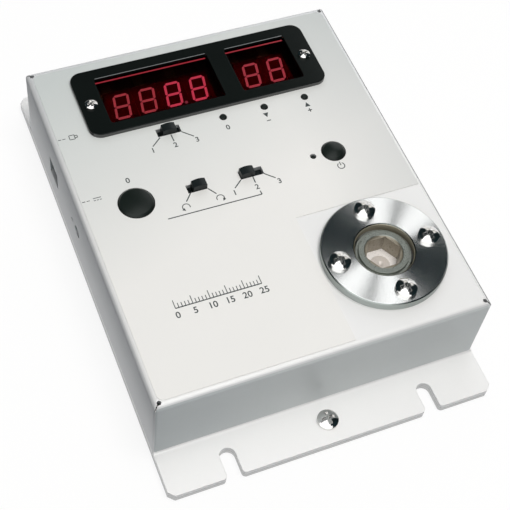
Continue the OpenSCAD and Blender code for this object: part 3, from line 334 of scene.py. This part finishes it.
from_point = add(tree, "VectorMath", {"operation": "DISTANCE", 1: point_place},
                 {0: on_plane.outputs[0]})
at_point = add(tree, "Math", {"operation": "LESS_THAN", 1: point_reach},
               {0: from_point.outputs["Value"]})
point_glow = add(tree, "Mix", {"data_type": "RGBA", 7: linear("#6f6670")},
                 {0: at_point.outputs[0], 6: time_glow.outputs[2]})
tree.links.new(point_glow.outputs[2], lit_bar["skin"].inputs["Emission Color"])
dress(lit_bar, "torque_bars", "time_bars")

# %% [markdown]
# ## Buttons and switch knobs
# The push-button caps are satin ABS and the slide knobs are acetal, which is a shade bluer and
# greasier in its shine. Both are moulded, so they have a soft orange-peel surface.

# %% Control materials
satin_abs = finish("satin_moulded_abs", "#1a211e", "#141a18", 6, 0.34, 0.05, 0.5, 0.006,
                   edge_mm=0.3, sockets={"IOR": 1.54, "Specular IOR Level": 0.25})
acetal = finish("moulded_acetal", "#1c2223", "#151a1b", 5, 0.36, 0.05, 0.4, 0.006,
                edge_mm=0.2, sockets={"IOR": 1.48, "Specular IOR Level": 0.25})
dress(satin_abs, "clear_button", "power_button", "clear_time_button", "count_down_button",
      "count_up_button", "reset_button")
dress(acetal, "unit_knob", "direction_knob", "mode_knob")

# %% [markdown]
# ## Turned steel disc
# The disc was faced on a lathe, so its surface is thousands of fine rings. Such a surface
# spreads a reflection across the rings and not along them, which is why a turned disc shows
# bright and dark wedges that meet at its middle. In Blender that is anisotropy with a tangent
# that runs round the axis. Real tool marks are about 0.1 mm apart; they are drawn at 0.5 mm.

# %% Disc material
turned_steel = finish("lathe_faced_steel", "#f2f3f2", "#eceeed", 15, 0.2, 0.02, 0.5, 0.0002,
                      metallic=1.0, sockets={"Anisotropic": 0.98, "Anisotropic Rotation": 0.25})
disc_low, disc_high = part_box("socket_disc")
disc_centre = (disc_low + disc_high) / 2
disc_axis = {"Location": (-disc_centre.x, -disc_centre.y, 0), "Scale": (1, 1, 0)}
ring_mm = 0.5
tree = turned_steel["tree"]
round_axis = add(tree, "Tangent", {"direction_type": "RADIAL", "axis": "Z"})
tree.links.new(round_axis.outputs[0], turned_steel["skin"].inputs["Tangent"])
from_axis = add(tree, "Mapping", disc_axis, {"Vector": turned_steel["place"]})
rings = add(tree, "TexWave", {"wave_type": "RINGS", "rings_direction": "Z",
            "Scale": 1000 / ring_mm / 20, "Distortion": 0.0}, {"Vector": from_axis.outputs[0]})
tree.links.new(rings.outputs[1], turned_steel["lift"].inputs["Height"])
dress(turned_steel, "socket_disc")
print("disc centre in mm:", [round(v / MM, 1) for v in disc_centre])

# %% [markdown]
# The rim, the chamfer and the bore look darker or tanner in the photograph. Why isn't known: it
# may be what they mirror. They get tones fitted to it, and the bore is set less metallic.

# %% Tones of the disc
rim_radius, chamfer_radius, bore_radius = 27.1 * MM, 13.6 * MM, 13.1 * MM
from_middle = add(tree, "VectorMath", {"operation": "LENGTH"}, {0: from_axis.outputs[0]})
on_rim = add(tree, "Math", {"operation": "GREATER_THAN", 1: rim_radius},
             {0: from_middle.outputs["Value"]})
on_chamfer = add(tree, "Math", {"operation": "LESS_THAN", 1: chamfer_radius},
                 {0: from_middle.outputs["Value"]})
in_bore = add(tree, "Math", {"operation": "LESS_THAN", 1: bore_radius},
              {0: from_middle.outputs["Value"]})
tone = turned_steel["tone"]
for mask, colour in ((on_rim, "#a3aaa7"), (on_chamfer, "#6d716c"), (in_bore, "#cdc4ad")):
    tone = add(tree, "Mix", {"data_type": "RGBA", 7: linear(colour)},
               {0: mask.outputs[0], 6: tone.outputs[2]})
bore_metal = add(tree, "MapRange", {"To Min": 1.0, "To Max": 0.3}, {"Value": in_bore.outputs[0]})
tree.links.new(bore_metal.outputs["Result"], turned_steel["skin"].inputs["Metallic"])
tree.links.new(tone.outputs[2], turned_steel["skin"].inputs["Base Color"])
print("disc tones change at radii in mm:",
      [round(r / MM, 1) for r in (bore_radius, chamfer_radius, rim_radius)])

# %% [markdown]
# ## Screws
# Most screws are steel with a bright nickel plate, smooth enough to mirror the room. The long
# ones deep inside are plain zinc-plated steel, duller and a little yellow.

# %% Screw materials
nickel_plate = finish("bright_nickel_plate", "#e8e7e4", "#dedddb", 5, 0.1, 0.03, 0.6, 0.001,
                      metallic=1.0, edge_mm=0.15)
zinc_plate = finish("zinc_plated_steel", "#c9c6bb", "#b5b3aa", 3, 0.3, 0.06, 0.4, 0.002,
                    metallic=1.0)
dress(nickel_plate, "flange_screws", "bezel_screws", "disc_screws")
dress(zinc_plate, "panel_screws", "board_screws", "base_screws", "transducer_screws")

# %% [markdown]
# ## The drive socket
# The socket is taken to be hardened steel with a grey oxide skin on its head. The hex looks warm
# and its floor pale, with a round mark such as a drill leaves before the broach. These tones are
# fitted to the photograph, and so is the metallic value, which is lower in the hex than steel has.
# One material holds all three, because the place of each is known: how far it is from the axis,
# and how high.

# %% Socket material
black_oxide = finish("black_oxide_steel", "#a1a69f", "#8d928b", 4, 0.3, 0.05, 0.5, 0.004,
                     edge_mm=0.3)
socket_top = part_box("torque_socket")[1].z
hex_top, hex_floor = socket_top - 0.2 * MM, socket_top - 9.8 * MM
hex_radius, mark_radius = 8.6 * MM, 4.4 * MM
tree = black_oxide["tree"]
on_axis = add(tree, "Mapping", disc_axis, {"Vector": black_oxide["place"]})
radius = add(tree, "VectorMath", {"operation": "LENGTH"}, {0: on_axis.outputs[0]})
height = add(tree, "SeparateXYZ", {}, {0: black_oxide["place"]})
near_axis = add(tree, "Math", {"operation": "LESS_THAN", 1: hex_radius},
                {0: radius.outputs["Value"]})
under_rim = add(tree, "Math", {"operation": "LESS_THAN", 1: hex_top}, {0: height.outputs["Z"]})
in_hex = add(tree, "Math", {"operation": "MULTIPLY"},
             {0: near_axis.outputs[0], 1: under_rim.outputs[0]})
at_floor = add(tree, "Math", {"operation": "LESS_THAN", 1: hex_floor}, {0: height.outputs["Z"]})
in_mark = add(tree, "Math", {"operation": "LESS_THAN", 1: mark_radius},
              {0: radius.outputs["Value"]})
# Painted light: the floor of the deep hex gets little light, so it is painted almost white, the
# drill mark a little darker.
hex_floor_painted_light = add(tree, "Mix", {"data_type": "RGBA", 6: linear("#fffaf7"), 7: linear("#d8d0c9")},
                 {0: in_mark.outputs[0]})
hex_tone = add(tree, "Mix", {"data_type": "RGBA", 6: linear("#968f80")},
               {0: at_floor.outputs[0], 7: hex_floor_painted_light.outputs[2]})
hex_skin = add(tree, "Mix", {"data_type": "RGBA"},
               {0: in_hex.outputs[0], 6: black_oxide["tone"].outputs[2], 7: hex_tone.outputs[2]})
tree.links.new(hex_skin.outputs[2], black_oxide["skin"].inputs["Base Color"])
on_floor = add(tree, "Math", {"operation": "MULTIPLY"},
               {0: in_hex.outputs[0], 1: at_floor.outputs[0]})
broached = add(tree, "MapRange", {"To Min": 0.85, "To Max": 0.5}, {"Value": in_hex.outputs[0]})
bare_metal = add(tree, "Math", {"operation": "MULTIPLY_ADD", 1: -0.3},
                 {0: on_floor.outputs[0], 2: broached.outputs["Result"]})
tree.links.new(bare_metal.outputs[0], black_oxide["skin"].inputs["Metallic"])
dress(black_oxide, "torque_socket")
gun_steel = finish("machined_alloy_steel", "#8b9092", "#7b8083", 8, 0.34, 0.05, 0.6, 0.003,
                   metallic=1.0, edge_mm=0.3)
dress(gun_steel, "transducer_housing")

# %% [markdown]
# ## Ports and the charge lamp
# The data port has a nickel-plated steel shell. The power jack is black nylon, and the lamp
# under it is a clear red epoxy dome.

# %% Port materials
port_shell = finish("plated_port_shell", "#b9b8b4", "#a5a4a1", 4, 0.24, 0.05, 0.5, 0.002,
                    metallic=1.0, edge_mm=0.15)
black_nylon = finish("moulded_black_nylon", "#1a1c1d", "#121415", 4, 0.5, 0.06, 0.4, 0.006,
                     sockets={"IOR": 1.53})
lamp_epoxy = finish("red_lamp_epoxy", "#7a2420", "#641b18", 2, 0.18, 0.04, 0.5, 0.001,
                    sockets={"IOR": 1.55, "Coat Weight": 0.4})
dress(port_shell, "usb_port")
dress(black_nylon, "dc_jack", "board_header", "clear_switch", "power_switch", "tact_switches",
      "unit_switch", "direction_switch", "mode_switch")
dress(lamp_epoxy, "charge_lamp")

# %% [markdown]
# ## Inside the case
# The photograph shows none of these, but an exploded view would, so each gets the finish that
# such a piece usually has: green solder mask over a glass-fibre weave, brass posts, spring wire,
# grey ribbon cable with a visible line for each wire, nylon plugs, cells in a shrink sleeve, and
# foil strain gauges on an amber film.

# %% Inner materials
circuit_board = finish("solder_mask_on_fibreglass", "#1d6b3c", "#155530", 3, 0.3, 0.06, 0.5, 0.004,
                       sockets={"IOR": 1.5, "Coat Weight": 0.3})
turned_brass = finish("turned_brass", "#d9b063", "#c79c52", 3, 0.25, 0.05, 0.4, 0.003, metallic=1.0)
spring_wire = finish("drawn_spring_wire", "#c4c6c8", "#a9abad", 1, 0.22, 0.05, 0.2, 0.001,
                     metallic=1.0)
chip_epoxy = finish("moulded_chip_epoxy", "#26282a", "#1b1d1f", 2, 0.6, 0.06, 0.3, 0.006,
                    sockets={"IOR": 1.55})
natural_nylon = finish("natural_nylon", "#e2dcca", "#d5cdb8", 3, 0.45, 0.05, 0.4, 0.004,
                       sockets={"IOR": 1.53, "Subsurface Weight": 0.1, "Subsurface Scale": 0.002})
cell_sleeve = finish("shrink_sleeve_pvc", "#2a7a42", "#236a38", 8, 0.25, 0.05, 1.0, 0.01,
                     sockets={"IOR": 1.53})
bare_tray = finish("stamped_aluminium", "#b9bbbc", "#a8aaab", 8, 0.36, 0.06, 0.5, 0.004,
                   metallic=1.0, stretch=(1, 0.1, 1))
ribbon = finish("ribbon_cable_pvc", "#8d9092", "#7c7f81", 6, 0.45, 0.05, 0.4, 0.003,
                sockets={"IOR": 1.53})
gauge_film = finish("foil_on_polyimide", "#b87a34", "#a2692a", 1, 0.3, 0.05, 0.3, 0.002,
                    sockets={"IOR": 1.7, "Coat Weight": 0.3})
for made, wires_mm, line in ((ribbon, 1.27, "#5a5d5f"), (gauge_film, 0.6, "#6a5a4a"),
                             (circuit_board, 2.54, "#2c8450")):
    tree = made["tree"]
    stripes = add(tree, "TexWave", {"wave_type": "BANDS", "bands_direction": "X",
                  "Scale": 1000 / wires_mm / 20}, {"Vector": made["place"]})
    narrow = add(tree, "Math", {"operation": "GREATER_THAN", 1: 0.8}, {0: stripes.outputs[1]})
    lined = add(tree, "Mix", {"data_type": "RGBA", 7: linear(line)},
                {0: narrow.outputs[0], 6: made["tone"].outputs[2]})
    tree.links.new(lined.outputs[2], made["skin"].inputs["Base Color"])
dress(circuit_board, "front_board", "main_board")
dress(turned_brass, "panel_posts", "main_posts")
dress(spring_wire, "clear_spring", "power_spring")
dress(chip_epoxy, "board_chips")
dress(natural_nylon, "gauge_connector", "battery_connector")
dress(cell_sleeve, "battery_cells")
dress(bare_tray, "battery_tray")
dress(ribbon, "gauge_cable", "battery_cable")
dress(gauge_film, "strain_gauges")

# %% [markdown]
# Each return spring is drawn as a copy of its solid, so the solid stays as it is. The copy takes
# the spring wire finish and belongs to the case.

# %% Return springs
for button in ("clear", "power"):
    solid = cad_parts[button + "_spring"]
    coil = bpy.data.objects.new(button + "_coil", solid.data.copy())
    coil.matrix_world = solid.matrix_world.copy()
    bpy.context.scene.collection.objects.link(coil)
    coil.data.materials.clear()
    coil.data.materials.append(spring_wire["material"])
    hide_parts(button + "_spring")
    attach(coil, "case")
    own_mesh(coil)

# %% [markdown]
# ## Ink on the panel
# The panel's print is screen ink, a matt dark grey. It is only a few hundredths of a millimetre
# thick, but it is real geometry here, so it stays crisp at any zoom and survives an export.
# Strokes are flat ribbons, closed into thin solids that stand on the film.

# %% Ink tools
screen_ink = finish("matt_screen_ink", "#414849", "#3a4142", 8, 0.6, 0.05, 0.3, 0.001,
                    sockets={"IOR": 1.5})
film_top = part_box("panel_overlay")[1].z
ink_depth = 0.02 * MM


def printed(name, outlines, made=screen_ink, level=film_top):
    """A thin solid from closed outlines in mm, on the film or at another level of the case."""
    mesh = bpy.data.meshes.new(name)
    body = bmesh.new()
    for outline in outlines:
        low = [body.verts.new((x * MM, y * MM, level)) for x, y in outline]
        high = [body.verts.new((x * MM, y * MM, level + ink_depth)) for x, y in outline]
        body.faces.new(high)
        body.faces.new(low[::-1])
        for i in range(len(low)):
            body.faces.new((low[i - 1], low[i], high[i], high[i - 1]))
    bmesh.ops.recalc_face_normals(body, faces=body.faces)
    body.to_mesh(mesh)
    body.free()
    piece = bpy.data.objects.new(name, mesh)
    bpy.context.scene.collection.objects.link(piece)
    mesh.materials.append(made["material"])
    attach(piece, "case")
    print(name, len(outlines), "shapes")
    return piece


def stroke(start, end, width=0.5):
    """One straight ink stroke as a four-cornered outline, in mm."""
    a, b = Vector(start), Vector(end)
    side = (b - a).orthogonal().normalized() * width / 2
    return [tuple(a + side), tuple(a - side), tuple(b - side), tuple(b + side)]


def path(points, width=0.5):
    """A run of strokes through points."""
    return [stroke(a, b, width) for a, b in zip(points, points[1:])]


def arc(centre, radius, first, last, steps=24):
    """Points on an arc, in mm and degrees."""
    angles = [math.radians(first + (last - first) * i / steps) for i in range(steps + 1)]
    return [(centre[0] + radius * math.cos(a), centre[1] + radius * math.sin(a)) for a in angles]


# %% [markdown]
# The photograph shows a thin grey line at the back edge of each window and a red one a little in
# front of it. The grey one is probably light on the broken edge of the black frame, and the red
# one light of the numbers that leaves the sheet at its step. The same tool draws both as thin
# pieces that imitate that light.

# %% Window edges
# The grey lines are a painted highlight on the frame's edge.
frame_edge_highlight = finish("painted_frame_edge_highlight", "#7d8081", "#707374", 3, 0.3, 0.05, 0.3, 0.001,
                   sockets={"IOR": 1.54})
# The red lines are a painted red glow.
red_edge_glow = finish("painted_filter_edge_glow", "#5a1018", "#4a0c12", 3, 0.3, 0.05, 0.3, 0.001,
                  sockets={"IOR": 1.49, "Emission Color": linear("#b22c3a"),
                           "Emission Strength": 0.5})
window_back = 75.7
windows = ((-46.9, 8.1), (16.9, 47.4))
grey_y, red_y = window_back + 0.2, window_back - 1.65
grey_lines = [stroke((a + 0.6, grey_y), (b - 0.6, grey_y), 0.36) for a, b in windows]
red_lines = [stroke((a + 0.3, red_y), (b - 1.0, red_y), 0.75) for a, b in windows]
printed("window_edge_lines", grey_lines, frame_edge_highlight, frame_high.z)
printed("filter_edge_lines", red_lines, red_edge_glow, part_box("red_filter")[1].z)

# %% [markdown]
# Thin leader lines fan out from each slide switch to the sign for each of its positions, and one
# long line ties the mode switch to the sign beside the clear button.

# %% Leader lines
leaders = [((-28.5, 36.1), (-33.2, 32.2)), ((-23.3, 36.2), (-23.2, 32.3)),
           ((-18.2, 36.4), (-13.7, 32.3)),
           ((-26.1, 2.9), (-29.4, -0.9)), ((-18.0, 2.8), (-15.5, -0.9)),
           ((-2.5, 2.9), (-6.7, -0.6)), ((3.1, 3.1), (3.0, -0.6)), ((8.5, 2.9), (12.5, -0.8))]
lines = [stroke(a, b) for a, b in leaders]
lines += path([(-40.0, -7.1), (3.4, -7.3), (3.3, -5.3)])
printed("leader_lines", lines)

# %% [markdown]
# The signs are plain ones that any maker uses: arrow heads for counting down and up, a bar and a
# cross for less and more, turning arrows, the usual broken ring for power, the line over dashes
# for direct current, and a little outline of a square plug.

# %% Signs
def arrow_head(x, y, size, turn):
    """A solid triangle centred at x, y, its point turned by degrees from straight up."""
    shape = [(0, size * 0.62), (-size * 0.5, -size * 0.38), (size * 0.5, -size * 0.38)]
    c, s = math.cos(math.radians(turn)), math.sin(math.radians(turn))
    return [(x + px * c - py * s, y + px * s + py * c) for px, py in shape]


def turning_arrow(x, y, radius, clockwise):
    """Three quarters of a ring with an arrow head at its end."""
    first, last = (200, -40) if clockwise else (-20, 220)
    ring = arc((x, y), radius, first, last)
    end = ring[-1]
    return path(ring, 0.4) + [arrow_head(*end, 1.5, last + (180 if clockwise else 0))]


signs = [arrow_head(22.2, 34.2, 2.6, 180), arrow_head(42.7, 33.9, 2.6, 0)]
signs += [stroke((21.2, 30.6), (23.2, 30.6), 0.5), stroke((41.7, 30.6), (43.7, 30.6), 0.5),
          stroke((42.7, 29.6), (42.7, 31.6), 0.5)]
signs += turning_arrow(-30.4, -3.6, 1.7, False) + turning_arrow(-14.6, -3.6, 1.7, True)
signs += path(arc((43.3, -3.6), 1.6, 120, 420, 28), 0.42)
signs += [stroke((43.3, -1.4), (43.3, -3.4), 0.42)]
printed("panel_signs", signs)
thin = 0.35
port_marks = []
for y in (48.0, 12.4):
    port_marks += [stroke((-72.0, y), (-70.6, y), thin), stroke((-70.0, y), (-68.6, y), thin)]
plug = [(-66.8, 46.8), (-64.4, 46.8), (-64.4, 49.2), (-66.8, 49.2), (-66.8, 46.8)]
port_marks += path(plug, thin)
port_marks += path([(-64.4, 48.6), (-63.2, 48.6), (-63.2, 47.4), (-64.4, 47.4)], thin)
port_marks += [stroke((-67.0, 13.0), (-63.4, 13.0), thin)]
port_marks += [stroke((-67.0 + 1.35 * i, 11.8), (-66.1 + 1.35 * i, 11.8), thin) for i in range(3)]
printed("port_marks", port_marks)

# %% [markdown]
# Numbers mark the switch positions. A Blender text object is the short way to a clean figure:
# it is a curve that can be given a thickness, and it counts as a piece like any other.

# %% Numbers
def figure(name, words, x, y, size):
    """Plain figures centred at x, y on the film, with their height in mm."""
    curve = bpy.data.curves.new(name, "FONT")
    curve.body = words
    curve.size = size / 0.72 * MM
    curve.align_x = "CENTER"
    curve.align_y = "CENTER"
    curve.extrude = ink_depth / 2
    curve.offset = 0.06 * MM
    piece = bpy.data.objects.new(name, curve)
    piece.location = (x * MM, y * MM, film_top + ink_depth / 2)
    bpy.context.scene.collection.objects.link(piece)
    curve.materials.append(screen_ink["material"])
    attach(piece, "case")
    return piece


marks = {"unit": ((-33.8, 30.0), (-23.2, 30.0), (-12.9, 30.0)),
         "mode": ((-7.6, -3.0), (2.9, -3.0), (13.6, -3.0))}
for group, places in marks.items():
    for number, (x, y) in enumerate(places, 1):
        figure(f"{group}_figure_{number}", str(number), x, y, 2.7)
figure("clear_time_figure", "0", 2.8, 32.4, 2.7)
figure("clear_figure", "0", -49.8, 17.6, 2.8)
print("figures:", sum(len(p) for p in marks.values()) + 2)

# %% [markdown]
# The wide plain place left of the disc gets a simple graduated scale: a base line, a tick for
# every unit and a longer tick with its number at every fifth.

# %% Plain scale
scale_left, scale_right, scale_y = -52.0, -14.0, -50.0
ticks = 25
step = (scale_right - scale_left) / ticks
scale_lines = [stroke((scale_left, scale_y), (scale_right, scale_y), 0.5)]
for i in range(ticks + 1):
    x = scale_left + step * i
    scale_lines.append(stroke((x, scale_y), (x, scale_y + (4.0 if i % 5 == 0 else 2.2)), 0.35))
    if i % 5 == 0:
        figure(f"scale_figure_{i}", str(i), x, scale_y - 3.4, 3.0)
printed("plain_scale", scale_lines)

# %% [markdown]
# ## Light and background
# The photograph looks as if it was taken in a light tent: soft light from everywhere, strongest
# from above, with a white ground. A pale floor carries the shadow. To the camera, and to rays that
# mirror or pass through, the floor and the world are white; the rest of the light is set so that
# a colour renders about as it was written. Light Path tells the shader which kind of ray is
# asking. Mirror rays that go up meet a roof brighter than white, which was fitted to the
# photograph. No real tent treats rays so differently.

# %% Light tent
def seen_ray(tree):
    """1 for rays from the camera, a mirror or glass that met no dull surface yet, else 0."""
    ray = add(tree, "LightPath").outputs
    seen_or_mirrored = add(tree, "Math", {"operation": "MAXIMUM"},
                           {0: ray["Is Camera Ray"], 1: ray["Is Glossy Ray"]})
    kind = add(tree, "Math", {"operation": "MAXIMUM"},
               {0: seen_or_mirrored.outputs[0], 1: ray["Is Transmission Ray"]})
    fresh = add(tree, "Math", {"operation": "LESS_THAN", 1: 0.5}, {0: ray["Diffuse Depth"]})
    both = add(tree, "Math", {"operation": "MULTIPLY"}, {0: kind.outputs[0], 1: fresh.outputs[0]})
    return both.outputs[0]


world = bpy.data.worlds.new("light_tent")
bpy.context.scene.world = world
world.use_nodes = True
air = world.node_tree
air.nodes.clear()
tent = add(air, "Background", {"Color": linear("#f4f7fa"), "Strength": 0.26})
white = add(air, "Background", {"Color": linear("#ffffff"), "Strength": 1.0})
seen = seen_ray(air)
both = add(air, "MixShader", {}, {0: seen, 1: tent.outputs[0], 2: white.outputs[0]})
toward_sky = add(air, "SeparateXYZ", {}, {0: add(air, "TexCoord").outputs["Generated"]})
roof_level = add(air, "MapRange", {"From Min": 0.3, "From Max": 0.6, "To Min": 1.0, "To Max": 1.65},
                 {"Value": toward_sky.outputs["Z"]})
roof = add(air, "Background", {"Color": linear("#ffffff")},
           {"Strength": roof_level.outputs["Result"]})
mirror_ray = add(air, "Math", {"operation": "MULTIPLY"},
                 {0: add(air, "LightPath").outputs["Is Glossy Ray"], 1: seen})
tent_and_roof = add(air, "MixShader", {},
                    {0: mirror_ray.outputs[0], 1: both.outputs[0], 2: roof.outputs[0]})
add(air, "OutputWorld", {}, {"Surface": tent_and_roof.outputs[0]})
print("tent strength:", tent.inputs["Strength"].default_value)


# %% Floor
def oblong(width, length):
    """The four corners of a rectangle in metres."""
    w, h = width / 2, length / 2
    return [(-w, -h), (w, -h), (w, h), (-w, h)]


def flat_card(name, outline):
    """A flat card of the studio from its corners, lying at the origin."""
    mesh = bpy.data.meshes.new(name)
    mesh.from_pydata([(x, y, 0) for x, y in outline], [], [tuple(range(len(outline)))])
    card = bpy.data.objects.new(name, mesh)
    bpy.context.scene.collection.objects.link(card)
    card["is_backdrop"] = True
    return card


floor = flat_card("floor", oblong(8.0, 8.0))
floor.location.z = -0.2 * MM
floor_paint = bpy.data.materials.new("pale_floor")
floor_paint.use_nodes = True
tree = floor_paint.node_tree
tree.nodes.clear()
seen = seen_ray(tree)
paint = add(tree, "Mix", {"data_type": "RGBA", 6: linear("#8c8e8f"), 7: linear("#ffffff")},
            {0: seen})
matt = add(tree, "BsdfDiffuse", {}, {"Color": paint.outputs[2]})
glowing = add(tree, "Emission", {"Color": linear("#ffffff"), "Strength": 1.0})
share = add(tree, "Math", {"operation": "MULTIPLY", 1: 0.88}, {0: seen})
ground = add(tree, "MixShader", {},
             {0: share.outputs[0], 1: matt.outputs[0], 2: glowing.outputs[0]})
add(tree, "OutputMaterial", {}, {"Surface": ground.outputs[0]})
floor.data.materials.append(floor_paint)

# %% [markdown]
# Bright metal is only as good as what it mirrors. In a light tent the photographer leaves dark
# gaps and hangs dark cards, so that chrome and turned steel get crisp dark shapes. The rings of
# the disc spread a reflection along the line from the middle outwards. So a card in the shape of
# a bow tie, hung where the disc mirrors it into the lens, turns the left and right wedges dark
# and leaves the other two white. It also keeps the black frame and its windows black. A narrow
# strip across it draws one thin grey streak in each white wedge. Two more cards carry the dark
# down to the table at the sides, and one on the ground darkens the left wall. The cards are seen
# by mirror rays and through the red sheet only, so they take no light from the case.

# %% Dark cards
card_paint = bpy.data.materials.new("dark_card")
card_paint.use_nodes = True
card_skin = card_paint.node_tree.nodes["Principled BSDF"]
card_skin.inputs["Base Color"].default_value = linear("#10272c")
card_skin.inputs["Roughness"].default_value = 0.9
disc_top = Vector((disc_centre.x, disc_centre.y, disc_high.z))
line_of_sight = (disc_top - camera.location).normalized()
mirrored = Vector((line_of_sight.x, line_of_sight.y, -line_of_sight.z))
forward_line = Vector((mirrored.x, mirrored.y, 0)).normalized()
sideways = Vector((mirrored.y, -mirrored.x, 0)).normalized()


def leaning_card(name, toward, distance, outline, wide_along):
    """A card that faces the disc from a direction, its width along a given line."""
    toward = toward.normalized()
    across = (wide_along - toward * wide_along.dot(toward)).normalized()
    turn = Matrix((across, (-toward).cross(across), -toward)).transposed().to_4x4()
    card = flat_card(name, outline)
    card.matrix_world = Matrix.Translation(disc_top + toward * distance) @ turn
    card.data.materials.append(card_paint)
    card.visible_camera = False
    card.visible_diffuse = False
    card.visible_shadow = False
    return card


edge, wedge, neck_x, neck_y = 1.4, 0.95, 0.02, 0.025
bow_tie = [(-edge, -edge), (-wedge, -edge), (-neck_x, -neck_y), (neck_x, -neck_y),
           (wedge, -edge), (edge, -edge), (edge, edge), (wedge, edge), (neck_x, neck_y),
           (-neck_x, neck_y), (-wedge, edge), (-edge, edge)]
leaning_card("bow_tie_card", mirrored, 0.8, bow_tie, sideways)
leaning_card("streak_card", mirrored, 0.79, oblong(0.028, 2.4), sideways)
for name, side in (("right_card", sideways), ("left_card", -sideways)):
    leaning_card(name, side + Vector((0, 0, 0.3)), 1.1, oblong(3.0, 1.0), forward_line)
ground_card = leaning_card("ground_card", Vector((0, 0, -1)), 0.0, oblong(0.5, 0.6),
                           Vector((1, 0, 0)))
ground_card.matrix_world = Matrix.Translation((-0.34, 0.02, 0.0004))
print("cards hung round the disc at", [round(v, 3) for v in disc_top])

# %% [markdown]
# One broad soft lamp hangs above and a little to the front, and gives the top its brightness
# over the walls. A weaker one stands behind. Mirror rays skip the lamps and see the white tent in
# their place.

# %% Lamps
def soft_lamp(name, place, aim, width, watts, colour="#ffffff"):
    """A square area lamp that points at a place."""
    data = bpy.data.lights.new(name, "AREA")
    data.shape = "SQUARE"
    data.size = width
    data.energy = watts
    data.color = linear(colour)[:3]
    lamp = bpy.data.objects.new(name, data)
    lamp.location = place
    lamp.rotation_euler = (Vector(aim) - Vector(place)).to_track_quat("-Z", "Y").to_euler()
    lamp.visible_glossy = False
    bpy.context.scene.collection.objects.link(lamp)
    return lamp


soft_lamp("overhead_lamp", (0.1, -0.22, 1.3), (0, 0, 0.03), 0.6, 12.9, "#fffdf9")
soft_lamp("back_lamp", (0.3, 1.1, 0.8), (0, 0.05, 0.03), 0.8, 2.5, "#f6fbff")

# %% [markdown]
# ## Size
# The box of the visible model is measured against the solid model's box, and the largest
# difference between them is printed. The visible model must stay inside the solid model's
# box.

# %% Sizes
low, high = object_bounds()
change = max(map(abs, [*(low - cad_low), *(high - cad_high)]))
print("box differs by at most", round(change / MM, 3), "mm")
